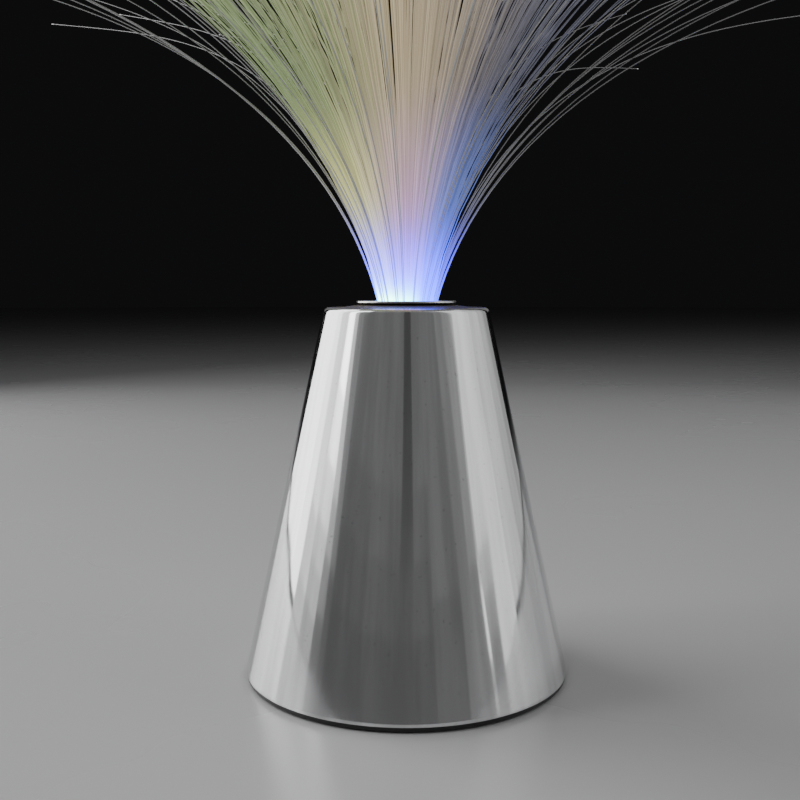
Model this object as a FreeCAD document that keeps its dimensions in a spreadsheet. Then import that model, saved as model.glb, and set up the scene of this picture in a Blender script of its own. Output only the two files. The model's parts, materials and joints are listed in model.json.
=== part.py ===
import FreeCAD, Part
import math
import os
import random
import re

import Sketcher

# Fibre optic table lamp. Millimetres, +Z up. The origin is on the table, on the axis of the cone.
# +X is the lamp's right and -Y its front. The three AAA cells lie along X in the base.

doc = FreeCAD.newDocument("fibre_optic_lamp")

# ---------------------------------------------------------------- driving dimensions
SIZES = {
    # chromed shell
    "base_radius": (42.5, "shell's outer radius at its lower edge"),
    "top_radius": (21.3, "shell's outer radius at its shoulder"),
    "shell_height": (95.0, "lower edge to shoulder"),
    "shell_lift": (1.4, "lower edge above the table"),
    "shell_wall": (2.0, "wall, square to the surface"),
    "shoulder_round": (1.3, "rounding of the shoulder"),
    "crown_radius": (17.3, "where the raised crown starts"),
    "crown_rise": (0.9, "height of the crown at the hole"),
    # collar
    "collar_bore": (9.4, "radius of the opening that the fibres come out of"),
    "collar_wall": (1.0, "neck of the collar"),
    "collar_gap": (0.2, "collar's neck to the shell's hole"),
    "collar_radius": (12.9, "outer radius of the collar's rim"),
    "collar_thickness": (0.8, "rim of the collar over the crown"),
    "collar_edge": (0.35, "height of the rim's thin edge"),
    "collar_barb": (0.6, "how far the snap barb stands out"),
    "collar_barb_height": (1.6, "length of the snap barb"),
    # ferrule and fibres
    "mouth_depth": (11.6, "ferrule's mouth below the collar's top"),
    "ferrule_length": (20.0, "ferrule, end to end"),
    "ferrule_bore": (6.4, "radius of the bundle's hole"),
    "ferrule_wall": (1.4, "ferrule's tube"),
    "rim_overhang": (1.2, "ferrule's rim past its tube"),
    "rim_height": (1.6, "ferrule's rim"),
    "strand_radius": (0.25, "a lock of light fibres"),
    "strand_gap": (0.15, "outermost strand to the ferrule's bore"),
    "strand_count": (180, "strands that fill the bundle"),
    "stray_count": (24, "outermost strands, which stand away from the rest"),
    "strand_length": (236.0, "longest strand past the ferrule's mouth"),
    "strand_spread": (8.4, "degrees that a strand leans at the mouth, at the edge of the bundle"),
    "strand_bias": (0.12, "share by which the strands lean more on the left, and less on the right"),
    "strand_flare": (4.0, "length over which a strand takes its lean"),
    "strand_play": (0.5, "degrees by which the strands' leans differ"),
    "cut_play": (0.035, "share by which the strands' lengths differ"),
    "stray_length": (242.0, "longest stray past the ferrule's mouth"),
    "stray_spread": (9.25, "degrees that a stray leans at the mouth"),
    "stray_play": (1.75, "degrees by which the strays' leans differ"),
    "fibre_diameter": (0.3, "one light fibre, which sets how far it sags"),
    "crowding": (0.75, "share of its weight that a fibre in the middle carries by itself"),
    "span_count": (8, "arcs that a strand's sag is made of"),
    # socket and light engine
    "socket_gap": (0.2, "ferrule to its socket"),
    "socket_wall": (2.2, "socket's tube"),
    "socket_flange": (17.5, "radius of the socket's upper flange"),
    "flange_thickness": (2.2, "socket's upper flange"),
    "ledge_radius": (6.8, "light hole under the ferrule"),
    "ledge_thickness": (1.5, "ledge round the light hole"),
    "chamber_radius": (8.2, "inside of the light chamber"),
    "led_room": (2.7, "LED's dome to the ledge"),
    "foot_thickness": (3.0, "socket's lower flange"),
    "socket_circle": (14.6, "circle of the socket's screws"),
    "boss_radius": (2.8, "screw bosses under the shoulder"),
    "board_radius": (14.4, "LED board, and the flange over it"),
    "board_thickness": (1.6, "LED board"),
    "board_circle": (12.0, "circle of the board's screws"),
    "led_circle": (3.7, "LEDs' centres from the axis"),
    "led_radius": (2.5, "LED's lens"),
    "led_collar": (2.9, "LED's collar"),
    "led_collar_height": (1.0, "LED's collar"),
    "led_height": (8.6, "LED over the board"),
    "lead_radius": (0.25, "LED's leads"),
    "lead_spread": (1.27, "lead to the LED's axis"),
    "lead_stub": (1.2, "lead below the board"),
    "lead_gap": (0.15, "lead to its hole"),
    "chip_length": (5.0, "control chip"),
    "chip_width": (4.0, "control chip"),
    "chip_height": (1.5, "control chip"),
    "chip_offset": (5.8, "chip's middle from the axis, along X and Y, to the front left"),
    "resistor_length": (3.2, "chip resistor"),
    "resistor_width": (1.6, "chip resistor"),
    "resistor_height": (0.6, "chip resistor"),
    "resistor_offset": (7.2, "resistors' middles from the axis, along X"),
    "resistor_pitch": (3.0, "resistor to resistor"),
    # bottom cover
    "foot_stand": (0.5, "cover's underside above the table"),
    "cover_inset": (0.3, "cover's rim inside the shell's edge"),
    "floor_thickness": (2.4, "cover's floor"),
    "spigot_height": (2.5, "cover's spigot over its floor"),
    "spigot_gap": (0.2, "spigot to the shell's inside"),
    "spigot_wall": (1.5, "spigot"),
    "post_x": (15.5, "cover screws from the lamp's middle, along X"),
    "post_inset": (8.75, "cover screws from the shell's lower edge, inwards"),
    "post_radius": (3.9, "screw posts on the cover"),
    "post_height": (3.1, "screw posts over the floor"),
    "shell_boss_radius": (3.0, "bosses down the shell's wall"),
    "pad_radius": (3.0, "rubber feet"),
    "pad_thickness": (1.4, "rubber feet"),
    "pad_gap": (0.15, "foot to its pocket"),
    "pad_x": (23.5, "feet from the lamp's middle, along X"),
    "pad_inset": (4.8, "feet's middles from the shell's lower edge, inwards"),
    # cells, contacts and their bay
    "cell_radius": (5.2, "AAA cell"),
    "cell_length": (44.5, "AAA cell with its button"),
    "cell_round": (0.5, "edge of the cell"),
    "button_radius": (1.9, "cell's button"),
    "button_height": (0.8, "cell's button"),
    "cell_pitch": (11.2, "cell to cell"),
    "bay_gap": (0.35, "cell to the bay's roof"),
    "bay_wall": (1.2, "walls of the bay"),
    "plate_thickness": (0.3, "contact plates"),
    "plate_half": (3.8, "half of a contact plate's side"),
    "tab_width": (2.0, "solder tab"),
    "tab_rise": (3.0, "solder tab above the bay's roof"),
    "tab_gap": (0.3, "solder tab to its slot"),
    "spring_length": (5.8, "contact spring, pressed"),
    "spring_radius": (2.1, "contact spring at the cell"),
    "spring_taper": (14.0, "degrees that the spring widens to its plate"),
    "spring_turns": (3.5, "contact spring"),
    "spring_wire": (0.3, "radius of the spring's wire"),
    "spring_gap": (0.03, "spring to the faces at its ends"),
    # battery door
    "door_thickness": (1.8, "battery door"),
    "door_inset": (0.1, "door's face inside the cover's"),
    "door_gap": (0.2, "door's edge to its recess"),
    "door_seat": (0.1, "door to the ledge over it"),
    "door_lip": (1.2, "ledge that the door closes on"),
    "cell_gap": (0.3, "door to the cells"),
    "ear_length": (6.6, "door's screw ear"),
    "ear_half": (4.0, "half of the ear's width"),
    "ear_screw": (3.0, "screw's axis from the door's edge"),
    "ear_recess": (1.1, "depth of the screw head's recess"),
    "door_boss_radius": (2.9, "boss for the door's screw"),
    "door_boss_height": (6.0, "boss for the door's screw"),
    "tongue_length": (1.6, "door's tongues"),
    "tongue_thickness": (0.8, "door's tongues"),
    "tongue_half": (3.0, "half of a tongue's width"),
    "tongue_y": (10.0, "tongues from the middle"),
    "tongue_gap": (0.1, "tongue to the lip under it"),
    "tongue_room": (1.1, "height of the slot over a tongue"),
    # slide switch
    "switch_inset": (12.0, "switch's middle from the shell's lower edge, inwards"),
    "switch_boss_height": (1.5, "bosses under the switch"),
    "switch_boss_radius": (2.2, "bosses under the switch"),
    "switch_holes": (8.1, "switch's screws from its middle"),
    "frame_half": (10.4, "half of the switch frame's length"),
    "frame_thickness": (0.5, "sheet of the switch's frame"),
    "can_length": (11.6, "switch's can"),
    "can_width": (6.0, "switch's can"),
    "can_height": (4.4, "switch's can over its frame"),
    "base_thickness": (0.9, "switch's terminal plate"),
    "slider_length": (6.4, "slider inside the can"),
    "slider_width": (4.6, "slider inside the can"),
    "slider_height": (2.2, "slider inside the can"),
    "stem_side": (3.2, "knob's stem"),
    "knob_inset": (0.4, "knob's tip inside the cover's face"),
    "switch_travel": (3.0, "knob's stroke"),
    "switch_play": (0.2, "slider to the frame round it"),
    "stem_room": (0.4, "stem to the cover's slot"),
    "dish_margin": (2.2, "finger dish past the slot"),
    "dish_depth": (0.8, "finger dish"),
    "terminal_width": (1.2, "switch's terminals"),
    "terminal_thickness": (0.4, "switch's terminals"),
    "terminal_length": (3.4, "switch's terminals over their plate"),
    "terminal_pitch": (3.0, "terminal to terminal"),
    # screws: the shank is drawn at its core, in a hole of the thread's outer size
    "big_head": (2.7, "cover screw's head"),
    "big_head_height": (1.8, "cover screw's head"),
    "big_core": (1.1, "cover screw's shank"),
    "big_thread": (1.5, "cover screw's pilot hole"),
    "big_length": (12.0, "cover screw under its head"),
    "small_head": (2.0, "small screw's head"),
    "small_head_height": (1.0, "small screw's head"),
    "small_core": (0.8, "small screw's shank"),
    "small_thread": (1.15, "small screw's pilot hole"),
    "small_length": (5.0, "small screw under its head"),
    "socket_screw_length": (7.0, "socket screw under its head"),
    "switch_screw_length": (3.2, "switch screw under its head"),
    "door_screw_length": (4.0, "door screw under its head"),
    "head_sink": (0.3, "cover screw's head inside the cover's face"),
    "head_gap": (0.4, "screw's head to its recess"),
    "shank_gap": (0.5, "screw's shank to a hole that it passes"),
    "pilot_room": (1.5, "pilot hole past the screw's tip"),
    # wires
    "wire_radius": (0.6, "lead wires"),
    "wire_ring": (9.5, "solder pads' circle on the LED board"),
    "wire_run": (8.0, "straight lead past a contact's tab"),
    "wire_rise": (4.0, "how far a lead climbs before it turns towards the switch"),
}

sheet = doc.addObject("Spreadsheet::Sheet", "Sizes")
for row, (alias, (number, note)) in enumerate(SIZES.items(), start=1):
    sheet.set(f"A{row}", alias)
    sheet.set(f"B{row}", str(number))
    sheet.setAlias(f"B{row}", alias)
    sheet.set(f"C{row}", note)
doc.recompute()


def size(alias):
    """The sheet's number for one alias."""
    return float(sheet.get(alias))


def formula(text):
    """Puts the sheet's name before each alias in a formula."""

    def name(found):
        word = found.group()
        return f"Sizes.{word}" if word in SIZES else word

    return re.sub(r"[a-z_]+", name, text)


def bind(item, **formulas):
    """Ties properties of an object to formulas on the sheet."""
    for prop, text in formulas.items():
        item.setExpression(prop, formula(text))


def place(item, x="0", y="0", z="0", turn=None):
    """Puts an object at a place given by formulas, turned first if a Rotation is given."""
    if turn is not None:
        item.Placement = FreeCAD.Placement(FreeCAD.Vector(), turn)
    for letter, text in zip("xyz", (x, y, z)):
        item.setExpression(f".Placement.Base.{letter}", formula(text))
    return item


# ---------------------------------------------------------------- formulas that several pieces share
SHELL_TOP = "(shell_lift + shell_height)"
SLOPE = "((base_radius - top_radius) / shell_height)"
LEVEL_WALL = f"(shell_wall * sqrt(1 + {SLOPE}^2))"


def outside_at(z):
    """The shell's outer radius at a height."""
    return f"(base_radius - ({z} - shell_lift) * {SLOPE})"


def inside_at(z):
    """The shell's inner radius at a height."""
    return f"({outside_at(z)} - {LEVEL_WALL})"


CEILING = f"({SHELL_TOP} - shell_wall)"
COLLAR_SEAT = f"({SHELL_TOP} + crown_rise)"
HOLE = "(collar_bore + collar_wall + collar_gap)"
MOUTH = f"({COLLAR_SEAT} + collar_thickness - mouth_depth)"
RIM_SEAT = f"({MOUTH} - rim_height)"
FERRULE_END = f"({MOUTH} - ferrule_length)"
LEDGE_TOP = f"({FERRULE_END} - socket_gap)"
BOARD_TOP = f"({LEDGE_TOP} - ledge_thickness - led_room - led_height)"
BOARD_BOTTOM = f"({BOARD_TOP} - board_thickness)"
FLANGE_BOTTOM = f"({RIM_SEAT} - flange_thickness)"
FLOOR_TOP = "(foot_stand + floor_thickness)"
POST_TOP = f"({FLOOR_TOP} + post_height)"
DOOR_BOTTOM = "(foot_stand + door_inset)"
DOOR_TOP = f"({DOOR_BOTTOM} + door_thickness)"
LEDGE = f"({DOOR_TOP} + door_seat)"
CELL_AXIS = f"({DOOR_TOP} + cell_gap + cell_radius)"
BAY_HALF = "((cell_length + spring_length) / 2 + plate_thickness)"
BAY_RADIUS = "(cell_radius + bay_gap)"
BAY_SIDE = f"(cell_pitch + {BAY_RADIUS})"
ROOF = f"({CELL_AXIS} + {BAY_RADIUS} + bay_wall)"
RECESS_HALF = f"({BAY_HALF} + door_lip)"
RECESS_SIDE = f"({BAY_SIDE} + door_lip)"
DOOR_HALF = f"({RECESS_HALF} - door_gap)"
DOOR_SIDE = f"({RECESS_SIDE} - door_gap)"
EAR_AXIS = f"({DOOR_HALF} + ear_screw)"
FRAME_BOTTOM = f"({FLOOR_TOP} + switch_boss_height)"
FRAME_TOP = f"({FRAME_BOTTOM} + frame_thickness)"
CAN_TOP = f"({FRAME_TOP} + can_height)"
SWITCH_Y = "(base_radius - switch_inset)"
POST_Y = "sqrt((base_radius - post_inset)^2 - post_x^2)"
PAD_Y = "sqrt((base_radius - pad_inset)^2 - pad_x^2)"
LED_ANGLES = {"led_green": 166, "led_pink": -90, "led_blue": 20}
CORNERS = [(i, j) for i in (-1, 1) for j in (-1, 1)]
CELLS = {"battery_front": (-1, 1), "battery_middle": (0, -1), "battery_rear": (1, 1)}


# ---------------------------------------------------------------- how objects are made
POLYGON = 10.0  # size of the polygon that a sketch starts from


def cylinder(name, radius, height, x="0", y="0", z="0", turn=None):
    """A cylinder whose lower end is at the place given."""
    item = doc.addObject("Part::Cylinder", name)
    bind(item, Radius=radius, Height=height)
    return place(item, x, y, z, turn)


def box(name, x, y, z):
    """A box from pairs of formulas, low and high, on each axis."""
    item = doc.addObject("Part::Box", name)
    bind(item, Length=f"{x[1]} - ({x[0]})", Width=f"{y[1]} - ({y[0]})", Height=f"{z[1]} - ({z[0]})")
    return place(item, x[0], y[0], z[0])


def spread(middle, half):
    """Low and high formulas about a middle."""
    return f"{middle} - ({half})", f"{middle} + ({half})"


def joined(name, items):
    """The union of several objects."""
    item = doc.addObject("Part::MultiFuse", name)
    item.Shapes = items
    return item


def cut(name, base, tools):
    """One object with others taken away from it."""
    item = doc.addObject("Part::Cut", name)
    item.Base = base
    item.Tool = tools[0] if len(tools) == 1 else joined(f"{name}_tools", tools)
    return item


def group(name, items):
    """Several separate solids in one node."""
    item = doc.addObject("Part::Compound", name)
    item.Links = items
    return item


def outline(body, name, role, points):
    """A closed sketch of straight lines on one of the body's origin planes, each corner tied by formulas.

    The lines start out as a small regular polygon, and the constraints pull them into shape.
    """
    sketch = body.newObject("Sketcher::SketchObject", name)
    plane = next(f for f in body.Origin.OriginFeatures if f.Role == role)
    sketch.AttachmentSupport = (plane, [""])
    sketch.MapMode = "FlatFace"
    count = len(points)
    turns = [i * math.tau / count for i in range(count)]
    spots = [FreeCAD.Vector(2 + math.cos(turn), 2 + math.sin(turn)) * POLYGON for turn in turns]
    for i in range(count):
        sketch.addGeometry(Part.LineSegment(spots[i], spots[(i + 1) % count]))
    for i in range(count):
        sketch.addConstraint(Sketcher.Constraint("Coincident", i, 2, (i + 1) % count, 1))
    for i, (across, up) in enumerate(points):
        for kind, text in (("DistanceX", across), ("DistanceY", up)):
            start = spots[i].x if kind == "DistanceX" else spots[i].y
            number = sketch.addConstraint(Sketcher.Constraint(kind, -1, 1, i, 1, start))
            sketch.setExpression(f"Constraints[{number}]", formula(text))
    return sketch


def turned(name, points, x="0", y="0", z="0", turn=None):
    """A body made by turning an outline of (radius, height) corners about Z."""
    body = doc.addObject("PartDesign::Body", name)
    sketch = outline(body, f"{name}_profile", "XZ_Plane", points)
    feature = body.newObject("PartDesign::Revolution", f"{name}_turned")
    feature.Profile = sketch
    feature.ReferenceAxis = (sketch, ["V_Axis"])
    feature.Angle = 360
    body.Tip = feature
    return place(body, x, y, z, turn)


def rounded(body, name, radius, at_radius, at_height):
    """Rounds the body's circular edge at a radius and height, both numbers."""
    doc.recompute()
    base = body.Tip
    edges = []
    for i, edge in enumerate(base.Shape.Edges, start=1):
        bounds = edge.BoundBox
        off = (bounds.ZMax - at_height, bounds.ZMin - at_height, bounds.XMax - at_radius)
        if max(abs(d) for d in off) < 0.01:
            edges.append(f"Edge{i}")
    feature = body.newObject("PartDesign::Fillet", name)
    feature.Base = (base, edges)
    bind(feature, Radius=radius)
    body.Tip = feature


def screw(name, kind, length, x, y, z, turn=None):
    """A cross-head screw. Its head's outer face is at z and its shank points along +Z, unless turned."""
    head, high, core = f"{kind}_head", f"{kind}_head_height", f"{kind}_core"
    body = turned(name, [
        ("0", "0"), (f"{head} * 0.8", "0"), (head, f"{high} * 0.4"), (head, high), (core, high),
        (core, f"{high} + {length} - {core}"), ("0", f"{high} + {length}"),
    ], x, y, z, turn)
    arm, half = f"{head} * 0.55", f"{head} * 0.12"
    doc.recompute()
    corner = [(arm, half), (half, half), (half, arm)]
    cross = corner + [(f"-({x})", y) for x, y in corner[::-1]]
    cross += [(f"-({x})", f"-({y})") for x, y in corner] + [(x, f"-({y})") for x, y in corner[::-1]]
    sketch = outline(body, f"{name}_cross", "XY_Plane", cross)
    pocket = body.newObject("PartDesign::Pocket", f"{name}_recess")
    pocket.Profile = sketch
    bind(pocket, Length=f"{high} * 0.6")
    pocket.Reversed = True
    body.Tip = pocket
    return body


def screws(name, kind, length, spots, z, turn=None):
    """A group of like screws at (x, y) formulas."""
    return group(name, [screw(f"{name}_{i}", kind, length, x, y, z, turn)
                        for i, (x, y) in enumerate(spots, start=1)])


UPSIDE_DOWN = FreeCAD.Rotation(FreeCAD.Vector(1, 0, 0), 180)
ALONG_X = FreeCAD.Rotation(FreeCAD.Vector(0, 1, 0), 90)
AGAINST_X = FreeCAD.Rotation(FreeCAD.Vector(0, 1, 0), -90)


# ---------------------------------------------------------------- chromed shell
def shell():
    """The cone with its crown, the three bosses under its shoulder and the four down its wall."""
    form = turned("shell_form", [
        ("base_radius", "shell_lift"), ("top_radius", SHELL_TOP), ("crown_radius", SHELL_TOP),
        (HOLE, COLLAR_SEAT), (HOLE, CEILING), (inside_at(CEILING), CEILING),
        (inside_at("shell_lift"), "shell_lift"),
    ])
    shoulder = size("shell_lift") + size("shell_height")
    rounded(form, "shoulder_rounding", "shoulder_round", size("top_radius"), shoulder)
    bosses, pilots = [], []
    for i, (x, y) in enumerate(SOCKET_SPOTS):
        high = f"{CEILING} - {RIM_SEAT} + shell_wall / 2"
        bosses.append(cylinder(f"shoulder_boss_{i}", "boss_radius", high, x, y, RIM_SEAT))
        deep = "socket_screw_length - flange_thickness + pilot_room"
        pilots.append(cylinder(f"shoulder_pilot_{i}", "small_thread", deep, x, y, RIM_SEAT))
    pillars = []
    for i, (x, y) in enumerate(POST_SPOTS):
        top = f"(shell_lift + (post_inset + shell_boss_radius) / {SLOPE})"
        pillars.append(cylinder(f"wall_boss_{i}", "shell_boss_radius", f"{top} - {POST_TOP}", x, y, POST_TOP))
        deep = f"big_length - ({POST_TOP} - {HEAD_SEAT}) + pilot_room"
        pilots.append(cylinder(f"wall_pilot_{i}", "big_thread", deep, x, y, POST_TOP))
    heart = doc.addObject("Part::Cone", "shell_heart")
    middle = f"{LEVEL_WALL} / 2"
    bind(heart, Radius1=f"base_radius - {middle}", Radius2=f"top_radius - {middle}", Height="shell_height")
    place(heart, z="shell_lift")
    trimmed = doc.addObject("Part::Common", "wall_bosses")
    trimmed.Base = joined("wall_boss_pillars", pillars)
    trimmed.Tool = heart
    return cut("chrome_shell", joined("shell_solid", [form, *bosses, trimmed]), pilots)


def collar():
    """The ring that snaps into the shell's hole, with a thin-edged rim over the crown."""
    neck = "(collar_bore + collar_wall)"
    top = f"({COLLAR_SEAT} + collar_thickness)"
    catch = f"({CEILING} - collar_gap)"
    return turned("collar_ring", [
        ("collar_bore", top), ("collar_radius - collar_edge", top),
        ("collar_radius", f"{top} - collar_edge / 2"),
        ("collar_radius - collar_edge", f"{top} - collar_edge"), (f"{HOLE} + collar_edge", COLLAR_SEAT),
        (neck, COLLAR_SEAT), (neck, catch), (f"{neck} + collar_barb", catch),
        (neck, f"{catch} - collar_barb_height"), ("collar_bore", f"{catch} - collar_barb_height"),
    ])


# ---------------------------------------------------------------- ferrule, socket and light engine
def ferrule():
    """The tube round the root of the bundle, hung by its rim."""
    tube = "(ferrule_bore + ferrule_wall)"
    return turned("fibre_ferrule", [
        ("ferrule_bore", FERRULE_END), (tube, FERRULE_END), (tube, RIM_SEAT),
        (f"{tube} + rim_overhang", RIM_SEAT), (f"{tube} + rim_overhang", f"{MOUTH} - rim_height / 3"),
        (f"{tube} + rim_overhang * 0.7", MOUTH), ("ferrule_bore", MOUTH),
    ])


def socket():
    """The tube under the shoulder: it takes the ferrule from above and closes the chamber round the LEDs."""
    bore = "(ferrule_bore + ferrule_wall + socket_gap)"
    tube = f"({bore} + socket_wall)"
    foot_top = f"({BOARD_TOP} + foot_thickness)"
    ledge_bottom = f"({LEDGE_TOP} - ledge_thickness)"
    form = turned("socket_form", [
        (bore, RIM_SEAT), ("socket_flange", RIM_SEAT), ("socket_flange", FLANGE_BOTTOM),
        (tube, FLANGE_BOTTOM), (tube, foot_top), ("board_radius", foot_top), ("board_radius", BOARD_TOP),
        ("chamber_radius", BOARD_TOP), ("chamber_radius", ledge_bottom), ("ledge_radius", ledge_bottom),
        ("ledge_radius", LEDGE_TOP), (bore, LEDGE_TOP),
    ])
    holes = [cylinder(f"socket_hole_{i}", "small_core + shank_gap", "flange_thickness", x, y, FLANGE_BOTTOM)
             for i, (x, y) in enumerate(SOCKET_SPOTS)]
    holes += [cylinder(f"socket_pilot_{i}", "small_thread", "foot_thickness", x, y, BOARD_TOP)
              for i, (x, y) in enumerate(BOARD_SPOTS)]
    return cut("fibre_socket", form, holes)


def polar(radius, angle):
    """Formulas of a place at a radius formula and an angle in degrees."""
    return f"{radius} * cos({angle})", f"{radius} * sin({angle})"


def led_leads(angle):
    """The places of an LED's two leads."""
    return [polar(f"(led_circle {sign} lead_spread)", angle) for sign in "+-"]


def board():
    """The LED board, drilled for the leads and its two screws."""
    plate = cylinder("board_plate", "board_radius", "board_thickness", z=BOARD_BOTTOM)
    spots = [spot for angle in LED_ANGLES.values() for spot in led_leads(angle)]
    holes = [cylinder(f"lead_hole_{i}", "lead_radius + lead_gap", "board_thickness", x, y, BOARD_BOTTOM)
             for i, (x, y) in enumerate(spots)]
    holes += [cylinder(f"board_hole_{i}", "small_core + shank_gap", "board_thickness", x, y, BOARD_BOTTOM)
              for i, (x, y) in enumerate(BOARD_SPOTS)]
    return cut("led_board", plate, holes)


def led(name, angle):
    """A round LED with its domed lens, its collar and two leads."""
    x, y = polar("led_circle", angle)
    straight = "(led_height - led_radius)"
    lens = cylinder(f"{name}_lens", "led_radius", straight, x, y, BOARD_TOP)
    foot = cylinder(f"{name}_collar", "led_collar", "led_collar_height", x, y, BOARD_TOP)
    dome = doc.addObject("Part::Sphere", f"{name}_dome")
    bind(dome, Radius="led_radius")
    place(dome, x, y, f"{BOARD_TOP} + {straight}")
    long = "board_thickness + lead_stub + led_collar_height / 2"
    leads = [cylinder(f"{name}_lead_{i}", "lead_radius", long, lx, ly, f"{BOARD_BOTTOM} - lead_stub")
             for i, (lx, ly) in enumerate(led_leads(angle))]
    return joined(name, [foot, lens, dome, *leads])


def chip():
    """The chip under the board that fades the colours."""
    return box("control_chip", spread("-chip_offset", "chip_length / 2"),
               spread("-chip_offset", "chip_width / 2"), (f"{BOARD_BOTTOM} - chip_height", BOARD_BOTTOM))


def resistors():
    """One resistor for each LED, in a row under the board."""
    return group("resistors", [
        box(f"resistor_{i + 1}",
            spread("resistor_offset", "resistor_length / 2"),
            spread(f"{i} * resistor_pitch", "resistor_width / 2"),
            (f"{BOARD_BOTTOM} - resistor_height", BOARD_BOTTOM)) for i in (-1, 0, 1)
    ])


# ---------------------------------------------------------------- bottom cover and battery door
def at_end(end, deep):
    """Low and high formulas, along X, of a layer on the bay's end wall: the right one for an end of 1."""
    near = f"({BAY_HALF} - ({deep}))"
    return (near, BAY_HALF) if end > 0 else (f"-{BAY_HALF}", f"-{near}")


def bay(name, grow, low):
    """The three joined half-round channels of the cells, grown by a wall, down to a height."""
    half, side, round_ = f"({BAY_HALF} + {grow})", f"({BAY_SIDE} + {grow})", f"{BAY_RADIUS} + {grow}"
    block = box(f"{name}_block", spread("0", half), spread("0", side), (low, CELL_AXIS))
    channels = [cylinder(f"{name}_channel_{row + 1}", round_, f"2 * {half}", f"-{half}",
                         f"{row} * cell_pitch", CELL_AXIS, ALONG_X) for row in (-1, 0, 1)]
    return joined(name, [block, *channels])


def bottom_cover():
    """The black moulding that closes the shell: floor, spigot, posts and the cells' bay."""
    rim = "(base_radius - cover_inset)"
    spigot_top = f"({FLOOR_TOP} + spigot_height)"
    inner = f"({inside_at(spigot_top)} - spigot_gap - spigot_wall)"
    form = turned("cover_form", [
        ("0", "foot_stand"), (rim, "foot_stand"), (rim, "shell_lift"),
        (f"{inside_at('shell_lift')} - spigot_gap", "shell_lift"),
        (f"{inside_at(spigot_top)} - spigot_gap", spigot_top), (inner, spigot_top), (inner, FLOOR_TOP),
        ("0", FLOOR_TOP),
    ])
    solids = [form, bay("bay_walls", "bay_wall", "foot_stand")]
    tools = [bay("bay_hollow", "0", "0")]
    tools.append(box("door_recess", spread("0", RECESS_HALF), spread("0", RECESS_SIDE), ("0", LEDGE)))
    ear_side = "(ear_half + door_gap)"
    tools.append(box("ear_recess", ("0", f"{DOOR_HALF} + ear_length + door_gap"), spread("0", ear_side),
                     ("0", LEDGE)))
    solids.append(box("ear_roof", ("0", f"{DOOR_HALF} + ear_length + door_gap + bay_wall"),
                      spread("0", f"{ear_side} + bay_wall"), ("foot_stand", f"{LEDGE} + bay_wall")))
    solids.append(cylinder("door_boss", "door_boss_radius", "door_boss_height", EAR_AXIS, "0", LEDGE))
    deep = "door_screw_length + pilot_room"
    tools.append(cylinder("door_pilot", "small_thread", deep, EAR_AXIS, "0", DOOR_BOTTOM))
    for sign in (-1, 1):
        far, side = f"({DOOR_HALF} + tongue_length + door_gap)", "tongue_half + door_gap"
        tools.append(box(f"tongue_slot_{sign + 1}", (f"-{far}", f"-{BAY_HALF}"),
                         spread(f"{sign} * tongue_y", side),
                         (f"{DOOR_TOP} - tongue_thickness - tongue_gap", f"{DOOR_TOP} + tongue_room")))
        solids.append(box(f"tongue_roof_{sign + 1}", (f"-({far} + bay_wall)", f"-{BAY_HALF}"),
                          spread(f"{sign} * tongue_y", f"{side} + bay_wall"),
                          ("foot_stand", f"{DOOR_TOP} + tongue_room + bay_wall")))
    for i, (x, y) in enumerate(POST_SPOTS):
        solids.append(cylinder(f"post_{i}", "post_radius", f"{POST_TOP} - foot_stand", x, y, "foot_stand"))
        tools.append(cylinder(f"post_recess_{i}", "big_head + head_gap", HEAD_SEAT, x, y))
        tools.append(cylinder(f"post_hole_{i}", "big_core + shank_gap", POST_TOP, x, y))
    for i, (x, y) in enumerate(PAD_SPOTS):
        tools.append(cylinder(f"pad_pocket_{i}", "pad_radius + pad_gap", "pad_thickness", x, y))
    for i, (x, y) in enumerate(SWITCH_SPOTS):
        solids.append(cylinder(f"switch_boss_{i}", "switch_boss_radius",
                               "switch_boss_height + floor_thickness / 2",
                               x, y, f"{FLOOR_TOP} - floor_thickness / 2"))
        tools.append(cylinder(f"switch_pilot_{i}", "small_thread", "switch_screw_length", x, y,
                              f"{FRAME_BOTTOM} - switch_screw_length"))
    along, across = "((stem_side + switch_travel) / 2 + stem_room)", "(stem_side / 2 + stem_room)"
    tools.append(box("switch_slot", spread("0", along), spread(SWITCH_Y, across), ("0", FLOOR_TOP)))
    tools.append(box("finger_dish", spread("0", f"{along} + dish_margin"),
                     spread(SWITCH_Y, f"{across} + dish_margin"), ("0", "foot_stand + dish_depth")))
    for end in (-1, 1):
        x = at_end(end, "plate_thickness + tab_gap")
        tools.append(box(f"tab_slot_{end + 1}", x, spread(f"-{end} * cell_pitch", "tab_width / 2 + tab_gap"),
                         (CELL_AXIS, f"{ROOF} + bay_wall")))
        y = ("0", "cell_pitch") if end > 0 else ("-cell_pitch", "0")
        tools.append(box(f"bridge_notch_{end + 1}", x, y, (CELL_AXIS, f"{CELL_AXIS} + plate_half + tab_gap")))
    return cut("bottom_cover", joined("cover_solid", solids), tools)


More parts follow.
